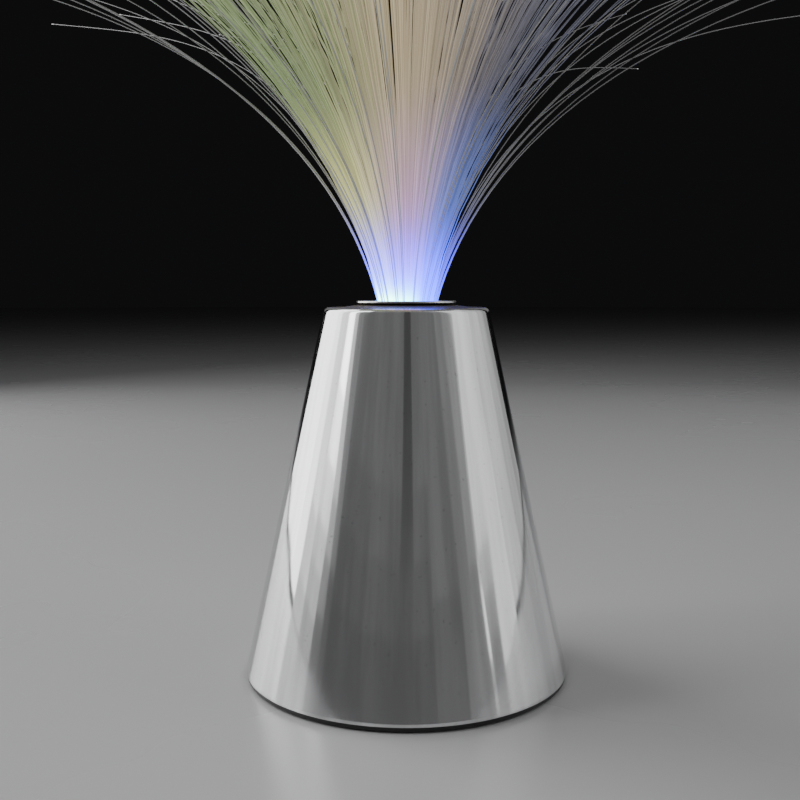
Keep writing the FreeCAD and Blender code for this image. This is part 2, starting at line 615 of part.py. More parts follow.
def battery_door():
    """The door under the cells, with two tongues at its left end and a screw ear at its right."""
    plate = box("door_plate", spread("0", DOOR_HALF), spread("0", DOOR_SIDE), (DOOR_BOTTOM, DOOR_TOP))
    ear = box("door_ear", ("0", f"{DOOR_HALF} + ear_length"), spread("0", "ear_half"),
              (DOOR_BOTTOM, DOOR_TOP))
    tongues = [box(f"door_tongue_{sign + 1}", (f"-({DOOR_HALF} + tongue_length)", "0"),
                   spread(f"{sign} * tongue_y", "tongue_half"),
                   (f"{DOOR_TOP} - tongue_thickness", DOOR_TOP)) for sign in (-1, 1)]
    recess = cylinder("ear_head_recess", "small_head + head_gap", "ear_recess", EAR_AXIS, "0", DOOR_BOTTOM)
    hole = cylinder("ear_hole", "small_core + shank_gap", "door_thickness", EAR_AXIS, "0", DOOR_BOTTOM)
    return cut("battery_door", joined("door_solid", [plate, ear, *tongues]), [recess, hole])


# ---------------------------------------------------------------- cells and contacts
COIL_ARCS = 6  # arcs to a turn of a spring


def cell(name, row, sense):
    """An AAA cell lying along X, its button towards +X for a sense of 1."""
    start = f"{sense} * ({BAY_HALF} - plate_thickness - cell_length)"
    shoulder = "(cell_length - button_height)"
    return turned(name, [
        ("0", "0"), ("cell_radius - cell_round", "0"), ("cell_radius", "cell_round"),
        ("cell_radius", f"{shoulder} - cell_round"), ("cell_radius - cell_round", shoulder),
        ("button_radius", shoulder), ("button_radius", "cell_length"), ("0", "cell_length"),
    ], start, f"{row} * cell_pitch", CELL_AXIS, ALONG_X if sense > 0 else AGAINST_X)


def tube_along(name, path, radius):
    """A round tube of a radius along a wire of tangent edges, as an object of its own."""
    start = path.Edges[0]
    first = start.firstVertex().Point
    ring = Part.Circle(first, start.tangentAt(start.FirstParameter), radius)
    item = doc.addObject("Part::Feature", name)
    item.Shape = path.makePipeShell([Part.Wire(ring.toShape())], True, False)
    return item


def spring(name, row, sense):
    """The coil between a cell's flat end and its contact plate, wider at the plate, of tangent arcs."""
    clear = size("spring_gap") + size("spring_wire")
    height, whole = size("spring_length") - 2 * clear, size("spring_turns") * math.tau
    widening = math.tan(math.radians(size("spring_taper")))

    def spot(turn):
        z = height * turn / whole
        out = size("spring_radius") + z * widening
        return FreeCAD.Vector(out * math.cos(turn), out * math.sin(turn), z)

    here, edges = spot(0), []
    heading = FreeCAD.Vector(height / whole * widening, here.x, height / whole).normalize()
    arcs = round(size("spring_turns") * COIL_ARCS)
    for there in (spot(whole * i / arcs) for i in range(1, arcs + 1)):
        chord = (there - here).normalize()
        swing = heading.getAngle(chord)
        bulge = (there - here).Length / 2 * math.tan(swing / 2)
        outward = (heading - chord * math.cos(swing)).normalize()
        edges.append(Part.Arc(here, (here + there) / 2 + outward * bulge, there).toShape())
        here, heading = there, chord * (2 * math.cos(swing)) - heading
    coil = tube_along(name, Part.Wire(edges), size("spring_wire"))
    start = f"-{sense} * ({BAY_HALF} - plate_thickness - spring_length + spring_gap + spring_wire)"
    return place(coil, start, f"{row} * cell_pitch", CELL_AXIS, AGAINST_X if sense > 0 else ALONG_X)


def contact(name, end, first, last, tab=False):
    """A plate on the bay's end wall, from one cell's row to another's, with a solder tab if asked."""
    x = at_end(end, "plate_thickness")
    plate = box(f"{name}_plate" if tab else name, x,
                (f"{first} * cell_pitch - plate_half", f"{last} * cell_pitch + plate_half"),
                (f"{CELL_AXIS} - plate_half", f"{CELL_AXIS} + plate_half"))
    if not tab:
        return plate
    tongue = box(f"{name}_tab", x, spread(f"{first} * cell_pitch", "tab_width / 2"),
                 (CELL_AXIS, f"{ROOF} + tab_rise"))
    return joined(name, [plate, tongue])


# ---------------------------------------------------------------- slide switch
def switch_housing():
    """The switch's steel can with its two ears."""
    deep = spread(SWITCH_Y, "can_width / 2")
    frame = box("switch_frame", spread("0", "frame_half"), deep, (FRAME_BOTTOM, FRAME_TOP))
    can = box("switch_can", spread("0", "can_length / 2"), deep, (FRAME_BOTTOM, CAN_TOP))
    hollow = box("switch_hollow", spread("0", "can_length / 2 - frame_thickness"),
                 spread(SWITCH_Y, "can_width / 2 - frame_thickness"), (FRAME_TOP, CAN_TOP))
    window = box("switch_window", spread("0", "(stem_side + switch_travel) / 2 + switch_play"),
                 spread(SWITCH_Y, "stem_side / 2 + switch_play"), (FRAME_BOTTOM, FRAME_TOP))
    holes = [cylinder(f"switch_hole_{i}", "small_core + shank_gap", "frame_thickness", x, y, FRAME_BOTTOM)
             for i, (x, y) in enumerate(SWITCH_SPOTS)]
    return cut("switch_housing", joined("switch_shape", [frame, can]), [hollow, window, *holes])


def switch_base():
    """The insulating plate that closes the can and carries the terminals."""
    return box("switch_base", spread("0", "can_length / 2 - frame_thickness - switch_play / 2"),
               spread(SWITCH_Y, "can_width / 2 - frame_thickness - switch_play / 2"),
               (f"{CAN_TOP} - base_thickness", CAN_TOP))


def terminal(i):
    """One of the switch's solder terminals, numbered from the left."""
    return box(f"terminal_{i}", spread(f"{i - 1} * terminal_pitch", "terminal_width / 2"),
               spread(SWITCH_Y, "terminal_thickness / 2"), (CAN_TOP, f"{CAN_TOP} + terminal_length"))


def switch_knob():
    """The slider and the stem that a fingertip moves. It stands at the right end of its stroke: on."""
    middle = "switch_travel / 2"
    low = f"({FRAME_TOP} + switch_play / 2)"
    slider = box("knob_slider", spread(middle, "slider_length / 2"), spread(SWITCH_Y, "slider_width / 2"),
                 (low, f"{low} + slider_height"))
    stem = box("knob_stem", spread(middle, "stem_side / 2"), spread(SWITCH_Y, "stem_side / 2"),
               ("foot_stand + knob_inset", f"{low} + slider_height"))
    return joined("switch_knob", [slider, stem])


# ---------------------------------------------------------------- wires
def wire(name, points):
    """A lead wire along straight runs joined by tangent arcs, each as large as its two runs allow."""
    points = [FreeCAD.Vector(*p) for p in points]
    edges, here = [], points[0]
    for before, corner, after in zip(points, points[1:], points[2:]):
        inward, outward = (before - corner).normalize(), (after - corner).normalize()
        half_turn = (math.pi - inward.getAngle(outward)) / 2
        back = 0.45 * min(before.distanceToPoint(corner), corner.distanceToPoint(after))
        start, end = corner + inward * back, corner + outward * back
        bend = back / math.tan(half_turn)
        middle = corner + (inward + outward).normalize() * (math.hypot(bend, back) - bend)
        edges.append(Part.LineSegment(here, start).toShape())
        edges.append(Part.Arc(start, middle, end).toShape())
        here = end
    edges.append(Part.LineSegment(here, points[-1]).toShape())
    return tube_along(name, Part.Wire(edges), size("wire_radius"))


def wires(parts):
    """The three leads, between the contacts' tabs, the switch's terminals and the board."""
    doc.recompute()
    radius = size("wire_radius")
    plus, minus = (parts[n].Shape.BoundBox for n in ("contact_positive", "contact_negative"))
    board_z = parts["led_board"].Shape.BoundBox.ZMin
    pins = [solid.BoundBox for solid in parts["switch_terminals"].Shape.Solids]
    middle_pin, right_pin = (FreeCAD.Vector(p.Center.x, p.Center.y, p.ZMax) for p in pins[1:])
    ring, run, rise = size("wire_ring"), size("wire_run"), size("wire_rise")
    low = plus.ZMax - radius
    lift = (board_z - low) / 4
    side = size("cell_pitch")
    positive = [(plus.XMin, -side, low), (plus.XMin - run, -side, low),
                (plus.XMin * 0.55, -side / 4, low + rise),
                (right_pin.x + 1.5 * rise, right_pin.y * 0.65, low + rise),
                (right_pin.x, right_pin.y, low + rise / 4), right_pin]
    switched = [middle_pin, middle_pin + FreeCAD.Vector(0, 0, lift + rise),
                (0, middle_pin.y * 0.72, low + 2 * lift), (0, ring, board_z - lift), (0, ring, board_z)]
    x, y = ring * math.cos(math.radians(150)), ring * math.sin(math.radians(150))
    negative = [(minus.XMax, side, low), (minus.XMax + run, side, low),
                (minus.XMax / 2, side * 0.7, low + lift), (x, y, board_z - lift), (x, y, board_z)]
    return [wire("wire_positive", positive), wire("wire_switched", switched), wire("wire_negative", negative)]


# ---------------------------------------------------------------- light fibres
WEIGHT = 1.17e-5  # N per cubic millimetre of acrylic
STIFFNESS = 3200.0  # N per square millimetre, acrylic's modulus
GOLDEN = math.pi * (3 - math.sqrt(5))
DRAW = 194  # starts the draw of the strands' small differences in lean and length, which leaves the spray centred


def bends(lean, length, share):
    """How much each span of a fibre curves per mm, from its root outwards, under a share of its weight."""
    load = share * 16 * WEIGHT / (STIFFNESS * size("fibre_diameter") ** 2)
    spans = round(size("span_count"))
    step = length / spans
    found = [0.0] * spans
    for _ in range(300):
        angle, out, middles = lean, 0.0, []
        for bend in found:
            middle = angle + bend * step / 2
            middles.append((out + math.sin(middle) * step / 2, math.sin(middle)))
            out += math.sin(middle) * step
            angle += bend * step
        for i, (x, slope) in enumerate(middles):
            beyond = sum(other - x for other, _ in middles[i + 1:]) * step + slope * step**2 / 8
            found[i] += 0.1 * (load * beyond - found[i])
    return found


def strand(name, radius, turn, lean, length, share):
    """One strand: straight in the ferrule, flared past its mouth, then sagging in its own upright plane."""
    aim = FreeCAD.Vector(math.cos(turn), math.sin(turn), 0)
    up = FreeCAD.Vector(0, 0, 1)
    mouth = parts["fibre_ferrule"].Shape.BoundBox
    here = aim * radius + up * mouth.ZMin
    there = aim * radius + up * mouth.ZMax
    edges = [Part.LineSegment(here, there).toShape()]
    here, angle = there, 0.0
    flare = size("strand_flare")
    sag = bends(lean, length - flare, share)
    step = (length - flare) / len(sag)
    for run, bend in [(flare, lean / flare)] + [(step, bend) for bend in sag]:
        spots = []
        for part_way in (run / 2, run):
            half = angle + bend * part_way / 2
            chord = 2 * math.sin(bend * part_way / 2) / bend
            spots.append(here + aim * (chord * math.sin(half)) + up * (chord * math.cos(half)))
        edges.append(Part.Arc(here, *spots).toShape())
        here, angle = spots[1], angle + bend * run
    return tube_along(name, Part.Wire(edges), size("strand_radius"))


def spray():
    """The strands, in one group for each LED that lights them, and the strays that stand apart."""
    chance = random.Random(DRAW)
    count, strays = round(size("strand_count")), round(size("stray_count"))
    edge = size("ferrule_bore") - size("strand_gap") - size("strand_radius")
    crowding, cut_play = size("crowding"), size("cut_play")
    groups = {name: [] for name in [*LED_ANGLES, "led_stray"]}
    for i in range(count):
        share = math.sqrt((i + 0.5) / count)
        turn = i * GOLDEN
        if i < count - strays:
            lean = size("strand_spread") * share * (1 - size("strand_bias") * math.cos(turn))
            lean += chance.uniform(-1, 1) * size("strand_play")
            run = size("strand_length") * (1 - cut_play * chance.uniform(0, 1))
            lit_by = max(LED_ANGLES, key=lambda led: math.cos(turn - math.radians(LED_ANGLES[led])))
        else:
            lean = size("stray_spread") + chance.uniform(-1, 1) * size("stray_play")
            run = size("stray_length") * (1 - cut_play / 2 * chance.uniform(0, 1))
            lit_by = "led_stray"
        lean = math.radians(max(lean, 0.15))
        load = crowding + (1 - crowding) * share
        groups[lit_by].append(strand(f"strand_{i}", edge * share, turn, lean, run, load))
    return [group(name.replace("led", "fibres"), items) for name, items in groups.items()]


# ---------------------------------------------------------------- the lamp
SOCKET_SPOTS = [polar("socket_circle", angle) for angle in (90, 210, 330)]
BOARD_SPOTS = [polar("board_circle", angle) for angle in (0, 180)]
POST_SPOTS = [(f"{i} * post_x", f"{j} * {POST_Y}") for i, j in CORNERS]
PAD_SPOTS = [(f"{i} * pad_x", f"{j} * {PAD_Y}") for i, j in CORNERS]
SWITCH_SPOTS = [(f"{i} * switch_holes", SWITCH_Y) for i in (-1, 1)]
HEAD_SEAT = "(foot_stand + head_sink + big_head_height)"

pieces = [shell(), collar(), ferrule(), socket(), board(), chip(), resistors()]
pieces += [led(name, angle) for name, angle in LED_ANGLES.items()]
pieces.append(screws("socket_screws", "small", "socket_screw_length", SOCKET_SPOTS,
                     f"{FLANGE_BOTTOM} - small_head_height"))
pieces.append(screws("board_screws", "small", "small_length", BOARD_SPOTS,
                     f"{BOARD_BOTTOM} - small_head_height"))
pieces += [bottom_cover(), battery_door()]
pieces.append(screws("cover_screws", "big", "big_length", POST_SPOTS, "foot_stand + head_sink"))
pieces.append(screws("door_screw", "small", "door_screw_length", [(EAR_AXIS, "0")],
                     f"{DOOR_BOTTOM} + ear_recess - small_head_height"))
pieces.append(group("rubber_feet", [cylinder(f"foot_{i}", "pad_radius", "pad_thickness", x, y)
                                    for i, (x, y) in enumerate(PAD_SPOTS)]))
pieces += [cell(name, row, sense) for name, (row, sense) in CELLS.items()]
pieces.append(group("battery_springs", [spring(f"{name}_spring", row, sense)
                                        for name, (row, sense) in CELLS.items()]))
pieces += [contact("contact_positive", 1, -1, -1, tab=True), contact("contact_bridge_right", 1, 0, 1),
           contact("contact_bridge_left", -1, -1, 0), contact("contact_negative", -1, 1, 1, tab=True)]
pieces += [switch_housing(), switch_base(), switch_knob()]
pieces.append(group("switch_terminals", [terminal(i) for i in range(3)]))
pieces.append(screws("switch_screws", "small", "switch_screw_length", SWITCH_SPOTS,
                     f"{FRAME_TOP} + small_head_height", UPSIDE_DOWN))
parts = {item.Label: item for item in pieces}
doc.recompute()
for item in wires(parts) + spray():
    parts[item.Label] = item
doc.recompute()

# ---------------------------------------------------------------- check and write
failed = [item.Label for item in doc.Objects if {"Invalid", "Error"} & set(item.State)]
failed += [name for name, item in parts.items() if item.Shape.isNull() or not item.Shape.isValid()]
if failed:
    raise SystemExit(f"these didn't build: {failed}")

os.makedirs("parts", exist_ok=True)
for name, item in parts.items():
    item.Shape.exportStep(f"parts/{name}.step")
    low, high = item.Shape.BoundBox.ZMin, item.Shape.BoundBox.ZMax
    print(f"{name}: {len(item.Shape.Solids)} solids, {item.Shape.Volume:.1f} mm3, z {low:.2f} to {high:.2f}")
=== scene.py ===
"""Fibre optic table lamp: a mirror-finished cone with a spray of lit fibres, on a pale studio floor."""

from __future__ import annotations

import json
import logging
import math
import random
from collections.abc import Callable
from dataclasses import dataclass, fields, replace
from enum import Enum

import bmesh
import bpy
import numpy as np
from mathutils import Matrix, Vector

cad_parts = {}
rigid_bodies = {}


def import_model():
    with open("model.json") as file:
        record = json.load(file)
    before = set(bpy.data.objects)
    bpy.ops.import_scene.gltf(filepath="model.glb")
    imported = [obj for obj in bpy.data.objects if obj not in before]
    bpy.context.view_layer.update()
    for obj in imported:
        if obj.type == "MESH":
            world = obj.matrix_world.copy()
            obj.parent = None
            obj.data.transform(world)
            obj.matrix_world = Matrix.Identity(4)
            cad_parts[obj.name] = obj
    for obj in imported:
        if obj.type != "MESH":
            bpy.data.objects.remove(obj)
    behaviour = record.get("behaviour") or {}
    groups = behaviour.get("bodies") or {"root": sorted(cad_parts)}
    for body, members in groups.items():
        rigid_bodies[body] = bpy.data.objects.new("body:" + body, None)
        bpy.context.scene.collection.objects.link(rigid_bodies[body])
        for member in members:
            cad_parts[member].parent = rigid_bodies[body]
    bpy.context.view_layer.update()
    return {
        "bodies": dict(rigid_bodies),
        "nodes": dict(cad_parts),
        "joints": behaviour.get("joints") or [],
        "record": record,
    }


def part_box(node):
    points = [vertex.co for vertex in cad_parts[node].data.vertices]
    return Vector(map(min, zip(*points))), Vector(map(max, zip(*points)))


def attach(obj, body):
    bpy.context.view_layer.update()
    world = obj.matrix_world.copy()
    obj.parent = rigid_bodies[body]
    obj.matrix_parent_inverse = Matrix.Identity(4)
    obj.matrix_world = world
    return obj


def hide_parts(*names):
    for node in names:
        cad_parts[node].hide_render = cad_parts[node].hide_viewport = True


MM = 0.001
WELD = 0.002 * MM
CORNER_REACH = 0.01 * MM
PLANE_REACH = 0.001 * MM
CREASE_TURN = 0.7
GOLDEN_TURN = math.pi * (3 - math.sqrt(5))
BAKE_MAP = "OFBake"
STRAY_NODE = "fibres_stray"
LOG = logging.getLogger("lamp")

Colour = tuple[float, float, float]
Point = tuple[float, float]


# ---------- shader graph
class Signal:
    """A shader socket that Python's operators combine into Math nodes."""

    def __init__(self, graph: Graph, socket: bpy.types.NodeSocket) -> None:
        """Keeps the socket and the graph that it belongs to."""
        self.graph, self.socket = graph, socket

    def _math(self, operation: str, *values: Signal | float) -> Signal:
        """A Math node on the values given."""
        return self.graph.node("ShaderNodeMath", {"operation": operation}, dict(enumerate(values)))

    def __add__(self, other: Signal | float) -> Signal:
        """self + other."""
        return self._math("ADD", self, other)

    def __sub__(self, other: Signal | float) -> Signal:
        """self - other."""
        return self._math("SUBTRACT", self, other)

    def __rsub__(self, other: float) -> Signal:
        """other - self."""
        return self._math("SUBTRACT", other, self)

    def __mul__(self, other: Signal | float) -> Signal:
        """self * other."""
        return self._math("MULTIPLY", self, other)

    def __truediv__(self, other: Signal | float) -> Signal:
        """self / other."""
        return self._math("DIVIDE", self, other)

    def __rtruediv__(self, other: float) -> Signal:
        """other / self."""
        return self._math("DIVIDE", other, self)

    def __pow__(self, other: Signal | float) -> Signal:
        """self ** other."""
        return self._math("POWER", self, other)

    def __rpow__(self, other: float) -> Signal:
        """other ** self."""
        return self._math("POWER", other, self)

    def sine(self) -> Signal:
        """The sine of the value, in radians."""
        return self._math("SINE", self)

    def exponent(self) -> Signal:
        """e to the power of the value."""
        return self._math("EXPONENT", self)

    def above(self, least: float) -> Signal:
        """The value, or the least value where that is larger."""
        return self._math("MAXIMUM", self, least)

    __radd__ = __add__
    __rmul__ = __mul__


Feed = Signal | float | tuple[float, ...]


@dataclass(frozen=True)
class Pattern:
    """Smooth noise: its cycles to a unit of length, and how many finer layers it has and how rough they are."""

    scale: float
    detail: float = 2.0
    rough: float = 0.5


class Graph:
    """The nodes of one material."""

    def __init__(self, name: str) -> None:
        """Starts an empty material.

        Args:
            name: The material's name.
        """
        self.material = bpy.data.materials.new(name)
        self.material.use_nodes = True
        self.tree = self.material.node_tree
        self.tree.nodes.clear()

    def node(self, kind: str, settings: dict[str, object] | None = None,
             inputs: dict[int | str, Feed] | None = None, output: int | str | None = 0) -> Signal | None:
        """Adds any node.

        Args:
            kind: The node's type.
            settings: Properties set before the sockets.
            inputs: Values or signals, by the socket's name or number.
            output: Which output to return, or None for a node that has none.

        Returns:
            The output as a signal.
        """
        node = self.tree.nodes.new(kind)
        for name, value in (settings or {}).items():
            setattr(node, name, value)
        for name, value in (inputs or {}).items():
            socket = node.inputs[name]
            if isinstance(value, Signal):
                self.tree.links.new(value.socket, socket)
            elif socket.type == "RGBA":
                socket.default_value = (*value[:3], 1.0)
            else:
                socket.default_value = value
        return None if output is None else Signal(self, node.outputs[output])

    def place(self) -> Signal:
        """The object's own coordinates, in metres."""
        return self.node("ShaderNodeTexCoord", output="Object")

    def attribute(self, name: str, output: str) -> Signal:
        """What the mesh stores under a name, as a Color or as a number (Fac)."""
        return self.node("ShaderNodeAttribute", {"attribute_name": name}, output=output)

    def split(self, vector: Signal) -> tuple[Signal, Signal, Signal]:
        """Takes a vector apart.

        Args:
            vector: The vector.

        Returns:
            Its three parts.
        """
        first = self.node("ShaderNodeSeparateXYZ", inputs={0: vector})
        outputs = first.socket.node.outputs
        return first, Signal(self, outputs[1]), Signal(self, outputs[2])

    def join(self, x: Feed, y: Feed, z: Feed) -> Signal:
        """A vector from three parts."""
        return self.node("ShaderNodeCombineXYZ", inputs={0: x, 1: y, 2: z})

    def noise(self, vector: Signal, pattern: Pattern) -> Signal:
        """Smooth noise about 0.5."""
        inputs = {"Vector": vector, "Scale": pattern.scale, "Detail": pattern.detail, "Roughness": pattern.rough}
        return self.node("ShaderNodeTexNoise", {"noise_dimensions": "3D"}, inputs)

    def fade(self, value: Signal, low: float, high: float) -> Signal:
        """0 below low, 1 above high and smooth between."""
        return self.node("ShaderNodeMapRange", {"interpolation_type": "SMOOTHSTEP"},
                         {0: value, 1: low, 2: high, 3: 0.0, 4: 1.0})

    def mix(self, factor: Feed, a: Feed, b: Feed) -> Signal:
        """A colour from a towards b."""
        return self.node("ShaderNodeMix", {"data_type": "RGBA", "blend_type": "MIX"}, {0: factor, 6: a, 7: b}, 2)

    def vector(self, operation: str, first: Feed, second: Feed) -> Signal:
        """A Vector Math node on two colours or vectors, or on one of them and a number to scale it by."""
        names = (0, "Scale") if operation == "SCALE" else (0, 1)
        return self.node("ShaderNodeVectorMath", {"operation": operation}, dict(zip(names, (first, second))))

    def bump(self, height: Signal, depth: float, strength: float = 1.0) -> Signal:
        """A normal bent by a height of 0 to 1 that stands for a depth in metres."""
        return self.node("ShaderNodeBump", inputs={"Strength": strength, "Distance": depth, "Height": height})

    def done(self, **inputs: Feed) -> bpy.types.Material:
        """Ends the graph in the Principled shader.

        Args:
            inputs: The shader's sockets, with _ for a space in their names.

        Returns:
            The finished material.
        """
        names = {name.replace("_", " "): value for name, value in inputs.items()}
        shader = self.node("ShaderNodeBsdfPrincipled", inputs=names)
        self.node("ShaderNodeOutputMaterial", inputs={"Surface": shader}, output=None)
        return self.material


# ---------- finishes
class Lay(Enum):
    """Which way the fine lines of a metal run."""

    CAST = (1.0, 1.0, 1.0)
    ALONG_X = (0.03, 1.0, 1.0)
    FLAT = (1.0, 1.0, 0.05)


def shaded(colour: Colour, factor: float, lift: float = 0.0) -> Colour:
    """A colour made darker or brighter, and lifted, but never past white."""
    return tuple(min(1.0, part * factor + lift) for part in colour)


@dataclass(frozen=True)
class Finish:
    """A surface finish with its main colour.

    An edge is the pair of values between which a pattern fades in, a share is how much of it shows at most, a tone
    is its colour or the factor that makes it from the main one, and a haze is what it adds to the roughness.
    """

    name: str
    colour: Colour

    def build(self) -> bpy.types.Material:
        """Makes the material."""
        raise NotImplementedError


@dataclass(frozen=True)
class Mirror(Finish):
    """Bright plating over moulded plastic: vertical streaks, specks, faint waves and a satin top above a height in
    painted shade.

    The streaks are painted reflection: vertical stripes that stand in for the bands that the plating reflects. With
    the smears, a thin film, they make one layer that is darker and hazier than the plating. Their patterns, and that
    of the waves, are stretched by one factor round the wall and by another one up it.
    """

    gloss: float = 0.05
    haze: float = 0.10
    # The streaks are painted reflection: vertical stripes that darken the plating.
    streaks: Pattern = Pattern(6.5, 3.0, 0.55)
    streak_stretch: Point = (1.0, 1.2)
    smears: Pattern = Pattern(2.6, 4.0, 0.6)
    smear_stretch: Point = (3.0, 14.0)
    smear_share: float = 0.25
    # The edge and tone below paint the streaks' reflection and the smears' thin film darker than the plating.
    film_edge: Point = (0.38, 0.62)
    film_tone: float = 0.80
    specks: Pattern = Pattern(900.0, 1.0)
    speck_edge: Point = (0.70, 0.78)
    speck_share: float = 0.25
    speck_tone: Colour = (0.25, 0.25, 0.26)
    waves: Pattern = Pattern(3.2, 1.0)
    wave_stretch: Point = (1.0, 2.5)
    wave_depth: float = 0.4 * MM
    satin: float = 0.45
    # Painted shade: by default the satin top is a dull warm grey that stands in for the grey reflection on the
    # crown, warmed against the fibres' blue glow.
    satin_tone: Colour = (0.15, 0.135, 0.105)
    satin_above: float = 96.3 * MM
    satin_blend: float = 0.1 * MM
    satin_dullness: float = 0.7
    edge_level: float = 0.05
    axis_guard: float = 1e-9

    def build(self) -> bpy.types.Material:
        """Makes the material.

        Returns:
            The plating.
        """
        g = Graph(self.name)
        x, y, z = g.split(g.place())
        radius = (x * x + y * y + self.axis_guard) ** 0.5
        across, deep = x / radius, y / radius

        def on_wall(pattern: Pattern, stretch: Point) -> Signal:
            """Noise that goes round the wall and up it."""
            return g.noise(g.join(across * stretch[0], deep * stretch[0], z * stretch[1]), pattern)

        # Painted reflection: the streaks' noise changes round the wall far faster than up it, so it makes vertical
        # stripes.
        reflection_streak = on_wall(self.streaks, self.streak_stretch)
        smear = on_wall(self.smears, self.smear_stretch)
        # The mask of the darker, hazier layer: painted reflection from the streaks and a thin film from the smears.
        film_and_reflection = g.fade(reflection_streak * (1.0 - self.smear_share) + smear * self.smear_share, *self.film_edge)
        speck = g.fade(g.noise(g.place(), self.specks), *self.speck_edge)
        tone = g.mix(film_and_reflection, self.colour, shaded(self.colour, self.film_tone))
        tone = g.mix(speck * self.speck_share, tone, self.speck_tone)
        wave = on_wall(self.waves, self.wave_stretch)
        # The satin top: rougher and less metallic, and on the cone its tone is painted shade.
        satin = g.fade(z, self.satin_above, self.satin_above + self.satin_blend)
        bright = film_and_reflection * (self.haze - self.gloss) + self.gloss
        return g.done(Base_Color=g.mix(satin, tone, self.satin_tone), Metallic=1.0 - satin * self.satin_dullness,
                      Roughness=bright * (1.0 - satin) + satin * self.satin, Specular_IOR_Level=self.edge_level,
                      Normal=g.bump(wave, self.wave_depth))


@dataclass(frozen=True)
class Moulded(Finish):
    """Moulded plastic or rubber with a fine grain, a little uneven in colour and gloss, and rubbed in places."""

    rough: float = 0.45
    grain: float = 0.35 * MM
    depth: float = 0.02 * MM
    coat: float = 0.0
    relief: float = 0.6
    grain_haze: float = 0.12
    clouds: Pattern = Pattern(70.0, 3.0)
    cloud_tone: float = 0.18
    cloud_haze: float = 0.1
    rubs: Pattern = Pattern(240.0, 4.0, 0.65)
    rub_edge: Point = (0.55, 0.8)
    rub_share: float = 0.12
    rub_tone: Colour = (0.5, 0.5, 0.5)

    def build(self) -> bpy.types.Material:
        """Makes the material.

        Returns:
            The plastic.
        """
        g = Graph(self.name)
        place = g.place()
        grain = g.noise(place, Pattern(1.0 / self.grain))
        cloud = g.noise(place, self.clouds)
        rubbed = g.fade(g.noise(place, self.rubs), *self.rub_edge)
        tone = g.mix(cloud, shaded(self.colour, 1.0 - self.cloud_tone), shaded(self.colour, 1.0 + self.cloud_tone))
        least = self.rough - (self.grain_haze + self.cloud_haze) / 2
        return g.done(Base_Color=g.mix(rubbed * self.rub_share, tone, self.rub_tone),
                      Roughness=grain * self.grain_haze + cloud * self.cloud_haze + least,
                      Coat_Weight=self.coat, Normal=g.bump(grain, self.depth, self.relief))


@dataclass(frozen=True)
class Metal(Finish):
    """Bare metal with fine lines and dull patches."""

    rough: float = 0.3
    lay: Lay = Lay.CAST
    polish: float = 0.1
    lines: Pattern = Pattern(6000.0, 2.0, 0.6)
    line_haze: float = 0.14
    line_depth: float = 0.004 * MM
    relief: float = 0.5
    patches: Pattern = Pattern(320.0, 3.0)
    patch_edge: Point = (0.45, 0.7)
    patch_tone: float = 0.72
    patch_haze: float = 0.12

    def build(self) -> bpy.types.Material:
        """Makes the material.

        Returns:
            The metal.
        """
        g = Graph(self.name)
        place = g.place()
        line = g.noise(g.vector("MULTIPLY", place, self.lay.value), self.lines)
        dull = g.fade(g.noise(place, self.patches), *self.patch_edge)
        return g.done(Base_Color=g.mix(dull, self.colour, shaded(self.colour, self.patch_tone)), Metallic=1.0,
                      Roughness=line * self.line_haze + dull * self.patch_haze + (self.rough - self.polish),
                      Normal=g.bump(line, self.line_depth, self.relief))


@dataclass(frozen=True)
class Resin(Finish):
    """The tinted clear resin of a light, which glows from within, dimly at its foot and fully in its dome."""

    glow: float = 2.5
    dim: float = 0.4
    dome: Point = (54.0 * MM, 61.0 * MM)
    swirls: Pattern = Pattern(500.0)
    swirl_share: float = 0.3
    swirl_tone: Colour = (1.0, 1.0, 1.0)
    swirl_haze: float = 0.06
    rough: float = 0.05
    coat: float = 0.6

    def build(self) -> bpy.types.Material:
        """Makes the material.

        Returns:
            The resin.
        """
        g = Graph(self.name)
        swirl = g.noise(g.place(), self.swirls)
        core = g.fade(g.split(g.place())[2], *self.dome)
        tint = g.mix(swirl * self.swirl_share, self.colour, self.swirl_tone)
        return g.done(Base_Color=tint, Roughness=swirl * self.swirl_haze + self.rough, Coat_Weight=self.coat,
                      Emission_Color=g.mix(core, shaded(self.colour, self.dim), tint),
                      Emission_Strength=self.glow)


@dataclass(frozen=True)
class Laminate(Finish):
    """A circuit board: lacquer over a mesh of winding copper tracks."""

    pitch: float = 1.6 * MM
    bends: Pattern = Pattern(160.0, 1.0)
    bend: float = 3.0
    copper_edge: Point = (0.25, 0.4)
    copper_tone: Point = (1.9, 0.01)
    copper_depth: float = 0.03 * MM
    copper_gloss: float = 0.08
    relief: float = 0.7
    rough: float = 0.34
    coat: float = 0.3

    def build(self) -> bpy.types.Material:
        """Makes the material.

        Returns:
            The board.
        """
        g = Graph(self.name)
        x, y, _ = g.split(g.place())
        bend = g.noise(g.place(), self.bends) * self.bend
        rows, columns = ((side * (math.tau / self.pitch) + bend).sine() for side in (x, y))
        copper = g.fade(rows * columns, *self.copper_edge)
        return g.done(Base_Color=g.mix(copper, self.colour, shaded(self.colour, *self.copper_tone)),
                      Roughness=self.rough - copper * self.copper_gloss, Coat_Weight=self.coat,
                      Normal=g.bump(copper, self.copper_depth, self.relief))


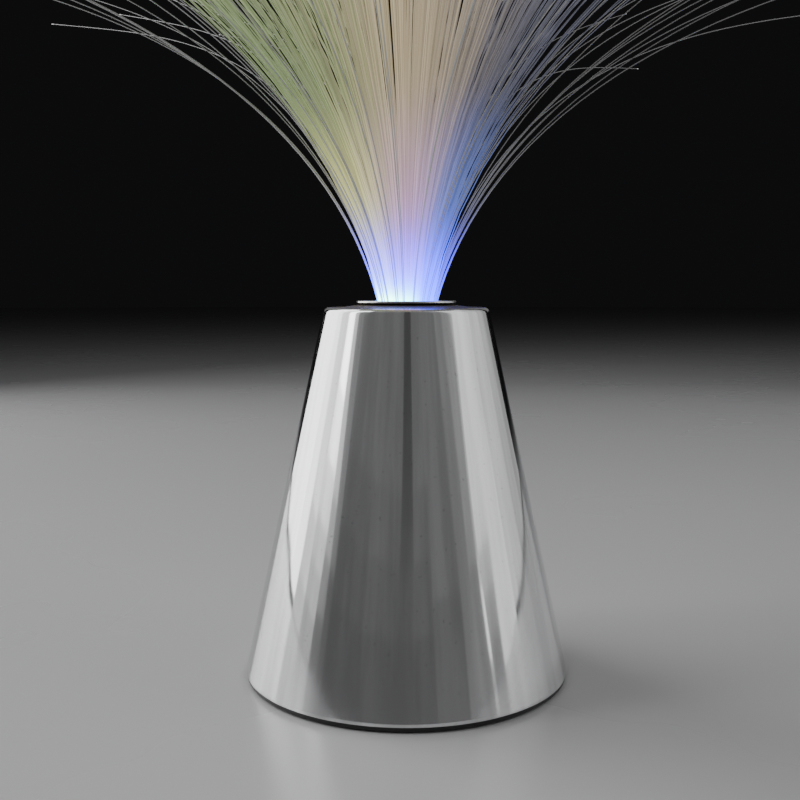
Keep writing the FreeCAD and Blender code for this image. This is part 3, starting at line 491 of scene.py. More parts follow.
@dataclass(frozen=True)
class Jacket(Finish):
    """The printed sleeve of a cell, with a bright band and then bare steel at the end towards sense * X."""

    sense: int = 1
    band: Colour = (0.62, 0.40, 0.18)
    band_start: float = 10.0 * MM
    steel: Colour = (0.7, 0.7, 0.7)
    steel_start: float = 24.0 * MM
    blend: float = 0.1 * MM
    scuffs: Pattern = Pattern(420.0, 4.0, 0.7)
    scuff_edge: Point = (0.6, 0.75)
    scuff_share: float = 0.3
    scuff_tone: Colour = (0.4, 0.4, 0.4)
    scuff_haze: float = 0.25
    rough: float = 0.2
    metallic: float = 0.7
    coat: float = 0.4

    def build(self) -> bpy.types.Material:
        """Makes the material.

        Returns:
            The sleeve.
        """
        g = Graph(self.name)
        place = g.place()
        x = g.split(place)[0] * self.sense
        band, steel = (g.fade(x, start - self.blend, start + self.blend)
                       for start in (self.band_start, self.steel_start))
        scuff = g.fade(g.noise(place, self.scuffs), *self.scuff_edge)
        tone = g.mix(steel, g.mix(band, self.colour, self.band), self.steel)
        return g.done(Base_Color=g.mix(scuff * self.scuff_share, tone, self.scuff_tone), Metallic=self.metallic,
                      Roughness=scuff * self.scuff_haze + self.rough, Coat_Weight=self.coat)


@dataclass(frozen=True)
class Glow(Finish):
    """Clear acrylic fibre that leaks the light it carries.

    Past the ferrule a bright core and a blue glare die away, both in shares of the fibre's length. Then the colours
    of its lamps show, the low one first and the high one further on, and its cut tip shines.
    """

    glare: float = 7.0
    glare_start: float = 0.034
    glare_reach: float = 0.054
    core: float = 12.7
    core_reach: float = 0.0088
    core_red_power: float = 6.0
    core_green: float = 1.6
    low_to_high: Point = (0.07, 0.30)
    tip: float = 0.7
    tip_edge: Point = (0.988, 0.996)
    dimmest: float = 0.65
    play: float = 0.7
    rough: float = 0.22
    rough_play: float = 0.1

    def build(self) -> bpy.types.Material:
        """Makes the material.

        Returns:
            The acrylic, which reads the mesh's own low, high, along and chance.
        """
        g = Graph(self.name)
        low, high = (g.attribute(name, "Color") for name in ("low", "high"))
        along, chance = (g.attribute(name, "Fac") for name in ("along", "chance"))
        past = (along - self.glare_start).above(0.0)
        core = (past * (-1.0 / self.core_reach)).exponent() * self.core
        leak = (past * past * (-1.0 / self.glare_reach ** 2)).exponent() * self.glare
        warm = g.split(low)[0]
        cold = g.join(core * warm ** self.core_red_power, core * (warm * warm * self.core_green), leak)
        tone = g.mix(g.fade(along, *self.low_to_high), low, high)
        shine = g.vector("ADD", g.vector("SCALE", tone, chance * self.play + self.dimmest), cold)
        tip = g.fade(along, *self.tip_edge) * self.tip
        return g.done(Base_Color=self.colour, Roughness=chance * self.rough_play + self.rough,
                      Emission_Color=g.vector("ADD", shine, g.join(tip, tip, tip)), Emission_Strength=1.0)


@dataclass(frozen=True)
class Ground(Finish):
    """The floor: a smooth pale sheet with a faint gloss."""

    clouds: Pattern = Pattern(5.0, 3.0)
    cloud_share: float = 0.4
    cloud_tone: float = 0.92
    cloud_haze: float = 0.06
    rough: float = 0.24

    def build(self) -> bpy.types.Material:
        """Makes the material.

        Returns:
            The sheet.
        """
        g = Graph(self.name)
        cloud = g.noise(g.place(), self.clouds)
        tone = g.mix(cloud * self.cloud_share, self.colour, shaded(self.colour, self.cloud_tone))
        return g.done(Base_Color=tone, Roughness=cloud * self.cloud_haze + self.rough)


# ---------- mesh helpers
def spun(profile: list[Point], steps: int) -> bmesh.types.BMesh:
    """Turns a closed outline of (radius, height) corners about Z.

    Args:
        profile: The corners in order.
        steps: How many facets go round.

    Returns:
        The mesh, welded, with its faces pointing outwards.
    """
    bm = bmesh.new()
    corners = [bm.verts.new((radius, 0.0, height)) for radius, height in profile]
    edges = [bm.edges.new((a, b)) for a, b in zip(corners, corners[1:] + corners[:1])]
    bmesh.ops.spin(bm, geom=corners + edges, cent=(0, 0, 0), axis=(0, 0, 1), angle=math.tau, steps=steps,
                   use_merge=True)
    bmesh.ops.remove_doubles(bm, verts=bm.verts, dist=WELD)
    bmesh.ops.recalc_face_normals(bm, faces=bm.faces)
    return bm


def soften(bm: bmesh.types.BMesh, corner: Point, offset: float, segments: int) -> None:
    """Rounds the ring of edges that a corner of the outline was turned into.

    Args:
        bm: The turned mesh.
        corner: The corner's radius and height.
        offset: How far from the corner the rounding starts.
        segments: How many facets it has.
    """
    edges = [e for e in bm.edges if all(
        math.hypot(math.hypot(v.co.x, v.co.y) - corner[0], v.co.z - corner[1]) < CORNER_REACH for v in e.verts)]
    bmesh.ops.bevel(bm, geom=edges, offset=offset, offset_type="OFFSET", segments=segments, profile=0.5,
                    affect="EDGES", material=-1, clamp_overlap=True)


def slice_at(bm: bmesh.types.BMesh, heights: list[float]) -> None:
    """Adds level loops at the given heights."""
    for height in heights:
        bmesh.ops.bisect_plane(bm, geom=bm.verts[:] + bm.edges[:] + bm.faces[:], dist=PLANE_REACH,
                               plane_co=(0, 0, height), plane_no=(0, 0, 1))


def crease(bm: bmesh.types.BMesh) -> None:
    """Keeps the edges crisp that turn by CREASE_TURN or more, in radians."""
    for edge in bm.edges:
        edge.smooth = edge.calc_face_angle(0.0) < CREASE_TURN


def finished(name: str, bm: bmesh.types.BMesh, finish: Finish, body: str,
             nodes: tuple[str, ...]) -> bpy.types.Object:
    """Makes a bmesh an object of the lamp.

    Args:
        name: The object's name.
        bm: Its mesh, which is freed.
        finish: Its surface finish.
        body: The body that it rides on.
        nodes: The CAD nodes that it stands for.

    Returns:
        The object.
    """
    mesh = bpy.data.meshes.new(name)
    for face in bm.faces:
        face.smooth = True
    bm.to_mesh(mesh)
    bm.free()
    mesh.materials.append(finish.build())
    piece = bpy.data.objects.new(name, mesh)
    bpy.context.scene.collection.objects.link(piece)
    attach(piece, body)
    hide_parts(*nodes)
    LOG.info("%s: %d faces", name, len(mesh.polygons))
    return piece


# ---------- chromed shell and collar
@dataclass(frozen=True)
class Boss:
    """A round boss that hangs inside the shell down to a height, with a pilot hole in its lower face."""

    low: float
    radius: float
    pilot: float
    deep: float
    steps: int = 32

    def build(self, bm: bmesh.types.BMesh, spot: Point, top: Callable[[float], float]) -> None:
        """Adds the boss.

        Args:
            bm: The shell's mesh.
            spot: Where it hangs, seen from above.
            top: The height of its upper end at a distance from the lamp's axis.
        """
        made = bmesh.ops.create_circle(bm, cap_ends=True, segments=self.steps, radius=self.radius,
                                       matrix=Matrix.Translation((*spot, self.low)))["verts"]
        lower = made[0].link_faces[0]
        ring = bmesh.ops.extrude_edge_only(bm, edges=lower.edges[:])["geom"]
        for vert in (item for item in ring if isinstance(item, bmesh.types.BMVert)):
            vert.co.z = top(math.hypot(vert.co.x, vert.co.y))
        upper = [item for item in ring if isinstance(item, bmesh.types.BMEdge)
                 and all(vert.co.z > self.low for vert in item.verts)]
        bmesh.ops.contextual_create(bm, geom=upper)
        bmesh.ops.inset_region(bm, faces=[lower], thickness=self.radius - self.pilot, use_even_offset=True)
        hole = bmesh.ops.extrude_discrete_faces(bm, faces=[lower])["faces"]
        bmesh.ops.translate(bm, verts=hole[0].verts[:], vec=(0, 0, self.deep))


@dataclass
class Shell:
    """The mirror-finished cone with its crown, three bosses under its shoulder and four down its wall.

    Loops are the distances of extra level loops from the lower edge and from the shoulder, and turns are in degrees.
    """

    base_radius: float = 42.5 * MM
    top_radius: float = 21.3 * MM
    low: float = 1.4 * MM
    shoulder: float = 96.4 * MM
    wall: float = 2.0 * MM
    crown_radius: float = 17.3 * MM
    crown_rise: float = 0.9 * MM
    hole: float = 10.6 * MM
    shoulder_round: float = 1.04 * MM
    shoulder_facets: int = 7
    edge_round: float = 0.25 * MM
    edge_facets: int = 3
    steps: int = 224
    bands: int = 8
    edge_loops: tuple[float, ...] = (0.9 * MM, 2.0 * MM)
    shoulder_loops: tuple[float, ...] = (3.6 * MM, 2.4 * MM, 1.6 * MM)
    high_circle: float = 14.6 * MM
    high_turns: tuple[float, ...] = (90.0, 210.0, 330.0)
    high_boss: Boss = Boss(84.9 * MM, 2.8 * MM, 1.15 * MM, 6.3 * MM)
    low_spot: Point = (15.5 * MM, 29.98 * MM)
    low_boss: Boss = Boss(6.0 * MM, 3.0 * MM, 1.5 * MM, 10.1 * MM)
    # This plating paints reflection in its vertical streaks and shade in its satin top's tone.
    finish: Finish = Mirror("chrome", (0.86, 0.865, 0.875))

    def slope(self) -> float:
        """How far the wall leans inwards in a unit of height."""
        return (self.base_radius - self.top_radius) / (self.shoulder - self.low)

    def level(self) -> float:
        """The wall's thickness, measured level."""
        return self.wall * math.hypot(1.0, self.slope())

    def outline(self) -> list[Point]:
        """Works out the wall's closed outline.

        Returns:
            Its (radius, height) corners, from the outer lower edge up and back down inside.
        """
        ceiling = self.shoulder - self.wall
        return [(self.base_radius, self.low), (self.top_radius, self.shoulder),
                (self.crown_radius, self.shoulder), (self.hole, self.shoulder + self.crown_rise),
                (self.hole, ceiling), (self.top_radius + self.wall * self.slope() - self.level(), ceiling),
                (self.base_radius - self.level(), self.low)]

    def heart(self, radius: float) -> float:
        """The height at which the middle of the wall has a radius."""
        return self.low + (self.base_radius - self.level() / 2 - radius) / self.slope()

    def build(self) -> bpy.types.Object:
        """Makes the cone.

        Returns:
            The object.
        """
        outline = self.outline()
        bm = spun(outline, self.steps)
        soften(bm, outline[1], self.shoulder_round, self.shoulder_facets)
        for corner in (outline[2], outline[0]):
            soften(bm, corner, self.edge_round, self.edge_facets)
        slice_at(bm, [*(self.low + above for above in self.edge_loops),
                      *(self.low + (self.shoulder - self.low) * i / self.bands for i in range(1, self.bands)),
                      *(self.shoulder - below for below in self.shoulder_loops)])
        for turn in map(math.radians, self.high_turns):
            spot = self.high_circle * math.cos(turn), self.high_circle * math.sin(turn)
            self.high_boss.build(bm, spot, lambda _: self.shoulder - self.wall / 2)
        for i, j in ((-1, -1), (-1, 1), (1, -1), (1, 1)):
            self.low_boss.build(bm, (i * self.low_spot[0], j * self.low_spot[1]), self.heart)
        bmesh.ops.recalc_face_normals(bm, faces=bm.faces)
        crease(bm)
        return finished("cone", bm, self.finish, "base", ("chrome_shell",))


@dataclass
class Collar:
    """The ring that lines the hole in the crown, with an upright brim above and a barb below."""

    bore: float = 9.4 * MM
    neck: float = 10.4 * MM
    radius: float = 12.9 * MM
    seat: float = 97.3 * MM
    top: float = 98.1 * MM
    foot: float = 92.6 * MM
    brim: float = 0.5 * MM
    fillet: float = 0.35 * MM
    barb: float = 0.6 * MM
    catch: float = 94.2 * MM
    rounds: tuple[float, ...] = (0.22 * MM, 0.16 * MM, 0.06 * MM)
    facets: int = 3
    steps: int = 128
    # Here the satin tone is the collar's own duller metal.
    finish: Finish = Mirror("collar_chrome", (0.80, 0.805, 0.815), satin=0.22, satin_tone=(0.72, 0.725, 0.735),
                            satin_above=0.0, satin_dullness=0.0)

    def build(self) -> bpy.types.Object:
        """Makes the ring.

        Returns:
            The object.
        """
        outline = [(self.bore, self.top), (self.radius, self.top), (self.radius, self.top - self.brim),
                   (self.neck + self.fillet, self.seat), (self.neck, self.seat), (self.neck, self.catch),
                   (self.neck + self.barb, self.catch), (self.neck, self.foot), (self.bore, self.foot)]
        bm = spun(outline, self.steps)
        for corner, offset in zip(outline, self.rounds):
            soften(bm, corner, offset, self.facets)
        return finished("collar", bm, self.finish, "base", ("collar_ring",))


# ---------- light fibres
@dataclass(frozen=True)
class Lamp:
    """One of the lights under the bundle: its CAD node, the fibres that it feeds and their colour low and high."""

    node: str
    fibres: str
    low: Colour
    high: Colour

    def spot(self) -> np.ndarray:
        """Its middle, seen from above."""
        low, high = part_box(self.node)
        return np.array([(low.x + high.x) / 2, (low.y + high.y) / 2])


LAMPS = (
    Lamp("led_green", "fibres_green", (0.80, 0.78, 0.27), (0.155, 0.22, 0.08)),
    Lamp("led_pink", "fibres_pink", (0.71, 0.385, 0.67), (0.46, 0.36, 0.215)),
    Lamp("led_blue", "fibres_blue", (0.11, 0.20, 0.68), (0.05, 0.055, 0.09)),
)


@dataclass
class Locks:
    """Fibres, one to a row: where each one's root is, its way, lean, load and length, its chance and its lock."""

    spot: np.ndarray
    turn: np.ndarray
    lean: np.ndarray
    load: np.ndarray
    length: np.ndarray
    chance: np.ndarray
    lock: np.ndarray


@dataclass
class Spray:
    """A thousand fibres in locks, which leave the ferrule upright, lean outwards and sag under their own weight.

    The spreads of the locks and strays, their play and the least lean are in degrees.
    """

    locks: int = 180
    strays: int = 24
    fibres_in_lock: int = 6
    fibres_in_stray: int = 2
    radius: float = 0.15 * MM
    pitch: float = 0.31 * MM
    edge: float = 6.0 * MM
    root: float = 66.7 * MM
    mouth: float = 86.5 * MM
    length: float = 235.6 * MM
    stray_length: float = 241.3 * MM
    flare: float = 4.0 * MM
    spread: float = 8.4
    bias: float = 0.12
    play: float = 0.5
    cut_play: float = 0.035
    stray_spread: float = 9.25
    stray_play: float = 1.75
    least_lean: float = 0.15
    weight: float = 11700.0
    modulus: float = 3.2e9
    crowding: float = 0.75
    seed: int = 194
    inward: float = 0.13
    inward_bias: float = 0.5
    loose_turn: float = 0.05
    loose_cut: float = 0.022
    stations: int = 90
    rounds: int = 420
    easing: float = 0.1
    spans: int = 18
    stray_spans: int = 44
    crowded_spans: float = 1.15
    lane_margin: float = 0.1
    colour_depth: float = 0.3
    colour_reach: float = 2.3 * MM
    stray_tone: float = 0.4
    finish: Finish = Glow("light_fibre", (0.17, 0.17, 0.165))
    stray_finish: Finish = Glow("stray_fibre", (0.27, 0.27, 0.27), glare=3.7, core=9.2)

    def bent(self, rows: Locks) -> tuple[np.ndarray, ...]:
        """The shape of heavy fibres that are held at a lean past their flare.

        Args:
            rows: The fibres.

        Returns:
            Distance from the root outwards, height and direction at each station, one row to a fibre.
        """
        way = np.linspace(0.0, 1.0, self.stations)
        free = (rows.length - self.flare)[:, None]
        lean = rows.lean[:, None]

        def summed(rate: np.ndarray) -> np.ndarray:
            """The running integral along each fibre."""
            steps = np.cumsum((rate[:, 1:] + rate[:, :-1]) / 2, 1) * free / (self.stations - 1)
            return np.concatenate([np.zeros((len(rate), 1)), steps], 1)

        curve = np.zeros((len(lean), self.stations))
        for _ in range(self.rounds):
            out = summed(np.sin(lean + summed(curve)))
            beyond = summed(out)
            pull = beyond[:, -1:] - beyond - out * (1.0 - way) * free
            curve += self.easing * (rows.load[:, None] * pull - curve)
        heading = lean + summed(curve)
        return (summed(np.sin(heading)) + self.flare * np.sin(lean / 2),
                summed(np.cos(heading)) + self.flare * np.cos(lean / 2), heading)

    def layout(self) -> Locks:
        """Lays out the fibres, the first of each lock on its own line and the rest loosely round it.

        Returns:
            The fibres, lock by lock from the middle of the bundle outwards.
        """
        draw, loose = random.Random(self.seed), random.Random(self.seed + 1)
        stiffness = self.modulus * (2 * self.radius) ** 2 / 16
        rows = []
        for i in range(self.locks):
            share = math.sqrt((i + 0.5) / self.locks)
            turn = i * GOLDEN_TURN
            if i < self.locks - self.strays:
                count = self.fibres_in_lock
                lean = self.spread * share * (1 - self.bias * math.cos(turn)) + draw.uniform(-1, 1) * self.play
                length = self.length * (1 - self.cut_play * draw.uniform(0, 1))
            else:
                count = self.fibres_in_stray
                lean = self.stray_spread + draw.uniform(-1, 1) * self.stray_play
                length = self.stray_length * (1 - self.cut_play / 2 * draw.uniform(0, 1))
            lean = math.radians(max(lean, self.least_lean))
            load = self.weight / stiffness * (self.crowding + (1 - self.crowding) * share)
            for j in range(count):
                apart = min(j, 1)
                side = turn + math.tau * j / max(count - 1, 1) + i
                inset = self.edge * share - apart * self.pitch * share
                spot = (inset * math.cos(turn) + apart * self.pitch * math.cos(side),
                        inset * math.sin(turn) + apart * self.pitch * math.sin(side))
                way = turn + apart * loose.gauss(0, self.loose_turn)
                inwards = loose.uniform(0, self.inward) * (1 + self.inward_bias * math.cos(turn))
                cut = loose.uniform(0, self.loose_cut)
                rows.append((*spot, way, lean * (1 - apart * inwards), load, length * (1 - apart * cut),
                             loose.random(), i))
        table = np.array(rows)
        return Locks(table[:, :2], *table[:, 2:].T)

    def template(self, spans: int) -> bpy.types.Mesh:
        """Makes a three-sided tube of unit radius, closed at both ends, with lanes for the bake's map.

        Args:
            spans: How many spans it has, each one unit high.

        Returns:
            The tube.
        """
        bm = bmesh.new()
        rim = bmesh.ops.create_circle(bm, cap_ends=True, segments=3, radius=1.0)["verts"]
        edges = [e for e in bm.edges if all(v in rim for v in e.verts)]
        for _ in range(spans):
            made = bmesh.ops.extrude_edge_only(bm, edges=edges)["geom"]
            verts = [item for item in made if isinstance(item, bmesh.types.BMVert)]
            edges = [item for item in made if isinstance(item, bmesh.types.BMEdge)]
            bmesh.ops.translate(bm, verts=verts, vec=(0, 0, 1))
        bmesh.ops.contextual_create(bm, geom=edges)
        bmesh.ops.recalc_face_normals(bm, faces=bm.faces)
        lanes = bm.loops.layers.uv.new(BAKE_MAP)
        for face in bm.faces:
            side = math.atan2(face.calc_center_median().y, face.calc_center_median().x) / math.tau + 0.5
            for loop in face.loops:
                loop[lanes].uv = (self.lane_margin + (1 - 2 * self.lane_margin) * side, loop.vert.co.z / spans)
        mesh = bpy.data.meshes.new("tube")
        bm.to_mesh(mesh)
        bm.free()
        return mesh

    def placed(self, rows: Locks, local: np.ndarray, ring: np.ndarray, way: np.ndarray) -> np.ndarray:
        """Lays straight tubes along the lines of their fibres.

        Args:
            rows: The fibres.
            local: The points of each one's tube, one row to a fibre.
            ring: Which ring of the tube each point belongs to.
            way: How far along the fibre each ring past the root lies.

        Returns:
            The points where they belong.
        """
        at = way * (self.stations - 1)
        low = np.minimum(at.astype(int), self.stations - 2)

        def sampled(values: np.ndarray) -> np.ndarray:
            """A quantity at each point of the tubes."""
            return (values[:, low] * (1 - at + low) + values[:, low + 1] * (at - low))[:, ring]

        reach, rise, tilt = (sampled(values) for values in self.bent(rows))
        reach, tilt = np.where(ring < 2, 0.0, reach), np.where(ring == 0, 0.0, tilt)
        rise = np.choose(np.minimum(ring, 2), [self.root - self.mouth, 0.0, rise])
        turn = rows.turn[:, None]
        up = np.array([0.0, 0.0, 1.0])
        aim = np.stack([np.cos(turn), np.sin(turn), np.zeros_like(turn)], 2)
        side = np.stack([-np.sin(turn), np.cos(turn), np.zeros_like(turn)], 2)
        across = aim * np.cos(tilt)[..., None] - up * np.sin(tilt)[..., None]
        start = np.concatenate([rows.spot, np.full((len(rows.turn), 1), self.mouth)], 1)[:, None]
        return (start + aim * reach[..., None] + up * rise[..., None]
                + (across * local[..., :1] + side * local[..., 1:2]) * self.radius)

    def group(self, node: str, rows: Locks, spans: int, tones: tuple[np.ndarray, ...]) -> bpy.types.Object:
        """Makes one group of fibres.

        Args:
            node: The CAD node that the group stands for.
            rows: Its fibres.
            spans: How many spans each tube has.
            tones: The colours that each fibre carries, low and high.

        Returns:
            The group as one object.
        """
        tube = self.template(spans)
        bm = bmesh.new()
        for _ in rows.turn:
            bm.from_mesh(tube)
        finish = self.stray_finish if node == STRAY_NODE else self.finish
        piece = finished(node.replace("fibres", "strands"), bm, finish, "spray", (node,))
        mesh, count, size = piece.data, len(rows.turn), len(tube.vertices)
        bpy.data.meshes.remove(tube)
        flat = np.empty(len(mesh.vertices) * 3)
        mesh.vertices.foreach_get("co", flat)
        local = flat.reshape(count, size, 3)
        ring = np.rint(local[0, :, 2]).astype(int)
        way = np.concatenate([[0.0], np.linspace(0.0, 1.0, spans) ** self.crowded_spans])
        mesh.vertices.foreach_set("co", self.placed(rows, local, ring, way).astype(np.float32).ravel())
        self.mark(mesh, "along", np.tile(way[ring], count), "FLOAT", "value")
        self.mark(mesh, "chance", np.repeat(rows.chance, size), "FLOAT", "value")
        for name, tone in zip(("low", "high"), tones):
            whole = np.concatenate([tone, np.ones((count, 1))], 1)
            self.mark(mesh, name, np.repeat(whole, size, 0), "FLOAT_COLOR", "color")
        self.part_lanes(mesh, count)
        mesh.update()
        return piece

    @staticmethod
    def mark(mesh: bpy.types.Mesh, name: str, values: np.ndarray, kind: str, field: str) -> None:
        """Stores a number or a colour at each point."""
        mesh.attributes.new(name, kind, "POINT").data.foreach_set(field, values.astype(np.float32).ravel())

    @staticmethod
    def part_lanes(mesh: bpy.types.Mesh, count: int) -> None:
        """Gives each fibre of a group its own part of the bake's map.

        Args:
            mesh: The group's mesh.
            count: How many fibres it has.
        """
        lanes = mesh.uv_layers[BAKE_MAP]
        uv = np.empty(len(mesh.loops) * 2)
        lanes.uv.foreach_get("vector", uv)
        uv = uv.reshape(count, -1, 2)
        uv[..., 0] = (uv[..., 0] + np.arange(count)[:, None]) / count
        lanes.uv.foreach_set("vector", uv.astype(np.float32).ravel())

    def tinted(self, rows: Locks, spots: np.ndarray, stray: np.ndarray) -> list[np.ndarray]:
        """Works out the light that each fibre takes from the lamps near its root.

        Args:
            rows: The fibres.
            spots: The lamps' middles.
            stray: Which fibres are strays, whose light is faint and has no hue.

        Returns:
            The fibres' colours low and high.
        """
        away = np.linalg.norm((rows.spot[:, None] - spots[None]) * np.array([1.0, self.colour_depth]), axis=2)
        weight = np.exp(-(away / self.colour_reach) ** 2)
        weight /= weight.sum(1, keepdims=True)
        tones = [weight @ np.array([getattr(lamp, end) for lamp in LAMPS]) for end in ("low", "high")]
        for tone in tones:
            tone[stray] = tone[stray].mean(1, keepdims=True) * self.stray_tone
        return tones

    def build(self) -> list[bpy.types.Object]:
        """Makes the locks that each lamp feeds, and the strays.

        Returns:
            The groups.
        """
        rows = self.layout()
        spots = np.array([lamp.spot() for lamp in LAMPS])
        stray = rows.lock >= self.locks - self.strays
        tones = self.tinted(rows, spots, stray)
        nearest = np.stack([np.cos(rows.lock * GOLDEN_TURN - math.atan2(spot[1], spot[0])) for spot in spots],
                           1).argmax(1)
        pieces = []
        for i, node in enumerate([*(lamp.fibres for lamp in LAMPS), STRAY_NODE]):
            chosen = np.flatnonzero(stray if node == STRAY_NODE else ~stray & (nearest == i))
            picked = Locks(*(getattr(rows, item.name)[chosen] for item in fields(Locks)))
            spans = self.stray_spans if node == STRAY_NODE else self.spans
            pieces.append(self.group(node, picked, spans, tuple(tone[chosen] for tone in tones)))
        return pieces


# ---------- fittings that keep their CAD shape
@dataclass
class Fittings:
    """The pieces whose CAD shape is right: a finish for each slot, with the slot's name."""

    jacket: Jacket = Jacket("cell_jacket", (0.02, 0.022, 0.026))
    turned_cell: str = "battery_middle"
    finishes: tuple[Finish, ...] = (
        Moulded("black_plastic", (0.014, 0.014, 0.015), 0.34, 0.5 * MM),
        Moulded("ferrule_nylon", (0.025, 0.025, 0.026), 0.42),
        Moulded("socket_plastic", (0.70, 0.70, 0.67), 0.4),
        Moulded("chip_resin", (0.018, 0.018, 0.019), 0.5, 0.12 * MM),
        Moulded("resistor_ceramic", (0.04, 0.04, 0.05), 0.35, 0.1 * MM, coat=0.3),
        Moulded("foot_rubber", (0.03, 0.03, 0.031), 0.75, 0.2 * MM, 0.03 * MM),
        Moulded("switch_resin", (0.24, 0.13, 0.055), 0.5),
        Moulded("knob_plastic", (0.022, 0.022, 0.024), 0.4),
        Moulded("red_insulation", (0.56, 0.025, 0.02), 0.3, 0.8 * MM, coat=0.2),
        Moulded("white_insulation", (0.76, 0.76, 0.73), 0.3, 0.8 * MM, coat=0.2),
        Moulded("black_insulation", (0.02, 0.02, 0.02), 0.3, 0.8 * MM, coat=0.2),
        Metal("screw_steel", (0.60, 0.60, 0.61), 0.3),
        Metal("contact_steel", (0.70, 0.69, 0.66), 0.26),
        Metal("switch_steel", (0.64, 0.64, 0.65), 0.3, Lay.ALONG_X),
        Metal("terminal_brass", (0.78, 0.62, 0.33), 0.3, Lay.FLAT),
        Laminate("circuit_board", (0.02, 0.15, 0.06)),
        Resin("green_lens", (0.45, 0.95, 0.40)),
        Resin("pink_lens", (1.0, 0.55, 0.62)),
        Resin("blue_lens", (0.30, 0.42, 1.0)),
    )

    def dress(self, frame: dict) -> None:
        """Gives every CAD node that still shows its finish.

        Args:
            frame: The frame's record and nodes.
        """
        made = {finish.name: finish.build() for finish in (*self.finishes, self.jacket)}
        other_way = replace(self.jacket, name="cell_jacket_turned", sense=-1).build()
        for row in frame["record"]["subparts"]:
            node = frame["nodes"][row["node"]]
            if node.hide_render:
                continue
            material = other_way if row["node"] == self.turned_cell else made[row["material_slot"]]
            node.data.materials.clear()
            node.data.materials.append(material)
            LOG.info("%s: %s", row["node"], material.name)


# ---------- studio
def lit_area(name: str, place: Vector, away: Vector, width: float, height: float, radiance: float) -> None:
    """Hangs a flat light that the camera itself doesn't see.

    Args:
        name: Its name.
        place: Its middle.
        away: The direction opposite to the one that it shines in.
        width: Its width.
        height: Its height.
        radiance: How bright it looks.
    """
    light = bpy.data.lights.new(name, "AREA")
    light.shape = "RECTANGLE"
    light.size, light.size_y = width, height
    light.energy = radiance * math.pi * width * height
    item = bpy.data.objects.new(name, light)
    item.matrix_world = Matrix.Translation(place) @ away.to_track_quat("Z", "Y").to_matrix().to_4x4()
    item.visible_camera = False
    bpy.context.scene.collection.objects.link(item)


@dataclass(frozen=True)
class Wall:
    """Upright softboxes that face the lamp from one side.

    They span two azimuths, from the camera's side towards the lamp's right. The main row reaches up to the top, and
    each row below it, from the floor up, has its upper elevation and its radiance. Angles are in degrees.
    """

    name: str
    start: float
    end: float
    radiance: float
    rows: tuple[Point, ...] = ()
    low: float = 0.1
    top: float = 58.0
    distance: float = 0.85

    def build(self) -> None:
        """Hangs the lights."""
        half = math.radians(self.end - self.start) / 2
        turn = math.radians(self.start) + half
        below = self.distance * math.tan(math.radians(self.low))
        for i, (top, radiance) in enumerate((*self.rows, (self.top, self.radiance))):
            above = self.distance * math.tan(math.radians(top))
            place = Vector((math.sin(turn) * self.distance, -math.cos(turn) * self.distance, (below + above) / 2))
            lit_area(f"{self.name}_{i}", place, Vector((place.x, place.y, 0.0)),
                     2 * self.distance * math.tan(half), above - below, radiance)
            below = above


FRONT_ROWS = ((7.0, 0.105), (12.0, 0.120), (17.0, 0.135))
SLIT_ROWS = ((7.0, 0.105), (11.5, 0.115), (14.5, 0.105), (18.0, 0.09), (21.5, 0.08))
GLOW_ROWS = ((3.0, 0.50), (6.0, 0.66), (9.0, 0.92), (13.0, 1.5), (18.0, 2.6))


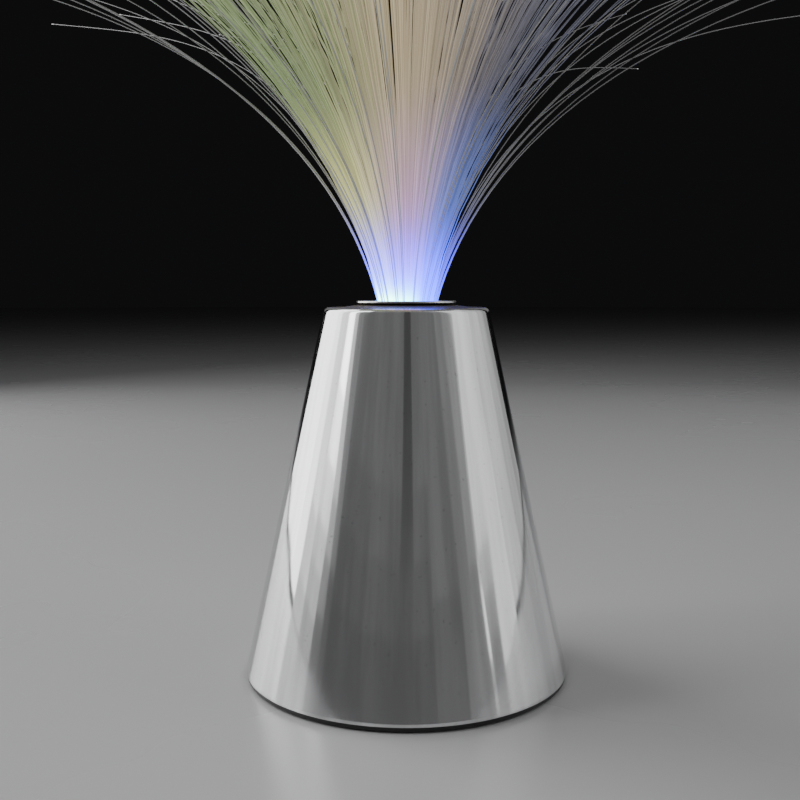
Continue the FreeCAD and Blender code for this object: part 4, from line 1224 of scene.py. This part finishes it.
@dataclass
class Studio:
    """The floor, the lights, the dark surroundings and the camera. Angles are in degrees."""

    camera_distance: float = 271.0 * MM
    camera_height: float = 100.9 * MM
    pitch: float = 6.03
    yaw: float = 0.35
    focal: float = 46.9
    sensor: float = 36.0
    floor_radius: float = 6.0
    floor_steps: int = 96
    dark: Colour = (0.006, 0.006, 0.0065)
    ground: Finish = Ground("floor", (0.66, 0.66, 0.67))
    overhead: float = 0.2
    overhead_width: float = 2.2
    overhead_height: float = 1.5
    walls: tuple[Wall, ...] = (
        Wall("front_left", -59.0, -30.0, 0.155, FRONT_ROWS),
        Wall("front_near_left", -30.0, -6.6, 0.150, FRONT_ROWS),
        Wall("front_slit", -6.6, 6.6, 0.07, SLIT_ROWS),
        Wall("front_near_right", 6.6, 22.0, 0.155, FRONT_ROWS),
        Wall("front_right", 22.0, 41.0, 0.155, ((9.0, 0.13),)),
        Wall("right_edge", 41.0, 52.0, 0.21),
        Wall("right_fade", 52.0, 60.0, 0.29, ((9.0, 0.22),)),
        Wall("right_line", 60.0, 62.0, 0.5, ((2.0, 0.5), (7.0, 1.3), (9.0, 0.7))),
        Wall("right_near", 62.0, 72.0, 0.92, ((3.0, 0.26), (6.0, 0.38), (9.0, 0.60))),
        Wall("right_main", 72.0, 92.0, 0.98),
        Wall("right_mid", 92.0, 112.0, 0.75, low=0.7),
        Wall("right_rear", 112.0, 126.0, 0.53, low=0.7),
        Wall("right_end", 126.0, 140.0, 0.37, low=0.7),
        Wall("left_low", -65.0, -59.0, 0.26, ((8.0, 0.14),)),
        Wall("left_near", -72.0, -65.0, 0.85, ((4.0, 0.19), (8.0, 0.31), (12.0, 0.52))),
        Wall("left_glow", -84.0, -72.0, 4.2, GLOW_ROWS),
        Wall("left_mid", -96.0, -84.0, 1.6, ((3.0, 0.80), (8.0, 1.1))),
        Wall("left_main", -108.0, -96.0, 2.6, low=0.7),
        Wall("left_rear", -140.0, -108.0, 3.1, low=0.7),
        Wall("rear", 150.0, 210.0, 0.17, low=12.0, top=42.0),
    )

    def lay_floor(self) -> None:
        """Makes the floor."""
        bm = bmesh.new()
        bmesh.ops.create_circle(bm, cap_ends=True, segments=self.floor_steps, radius=self.floor_radius)
        mesh = bpy.data.meshes.new("floor")
        bm.to_mesh(mesh)
        bm.free()
        mesh.materials.append(self.ground.build())
        floor = bpy.data.objects.new("floor", mesh)
        bpy.context.scene.collection.objects.link(floor)

    def hang_lights(self) -> None:
        """Hangs the walls of light and the one overhead, and darkens the rest."""
        for wall in self.walls:
            wall.build()
        lit_area("overhead", Vector((0.0, 0.0, self.overhead_height)), Vector((0.0, 0.0, 1.0)),
                 self.overhead_width, self.overhead_width, self.overhead)
        world = bpy.data.worlds.new("surroundings")
        world.use_nodes = True
        world.node_tree.nodes["Background"].inputs["Color"].default_value = (*self.dark, 1.0)
        bpy.context.scene.world = world

    def set_camera(self) -> None:
        """Stands the camera in front of the lamp."""
        data = bpy.data.cameras.new("camera")
        data.sensor_width, data.lens = self.sensor, self.focal
        camera = bpy.data.objects.new("camera", data)
        camera.location = (0.0, -self.camera_distance, self.camera_height)
        camera.rotation_euler = (math.radians(90.0 - self.pitch), 0.0, math.radians(self.yaw))
        bpy.context.scene.collection.objects.link(camera)
        bpy.context.scene.camera = camera

    def build(self) -> None:
        """Makes the floor, the lights and the camera."""
        self.lay_floor()
        self.hang_lights()
        self.set_camera()
        LOG.info("studio: %d walls of light", len(self.walls))


def main() -> None:
    """Builds the lamp round its frame and sets it in the studio."""
    logging.basicConfig(level=logging.INFO, format="%(name)s: %(message)s")
    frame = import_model()
    Shell().build()
    Collar().build()
    Spray().build()
    Fittings().dress(frame)
    Studio().build()


if __name__ == "__main__":
    main()
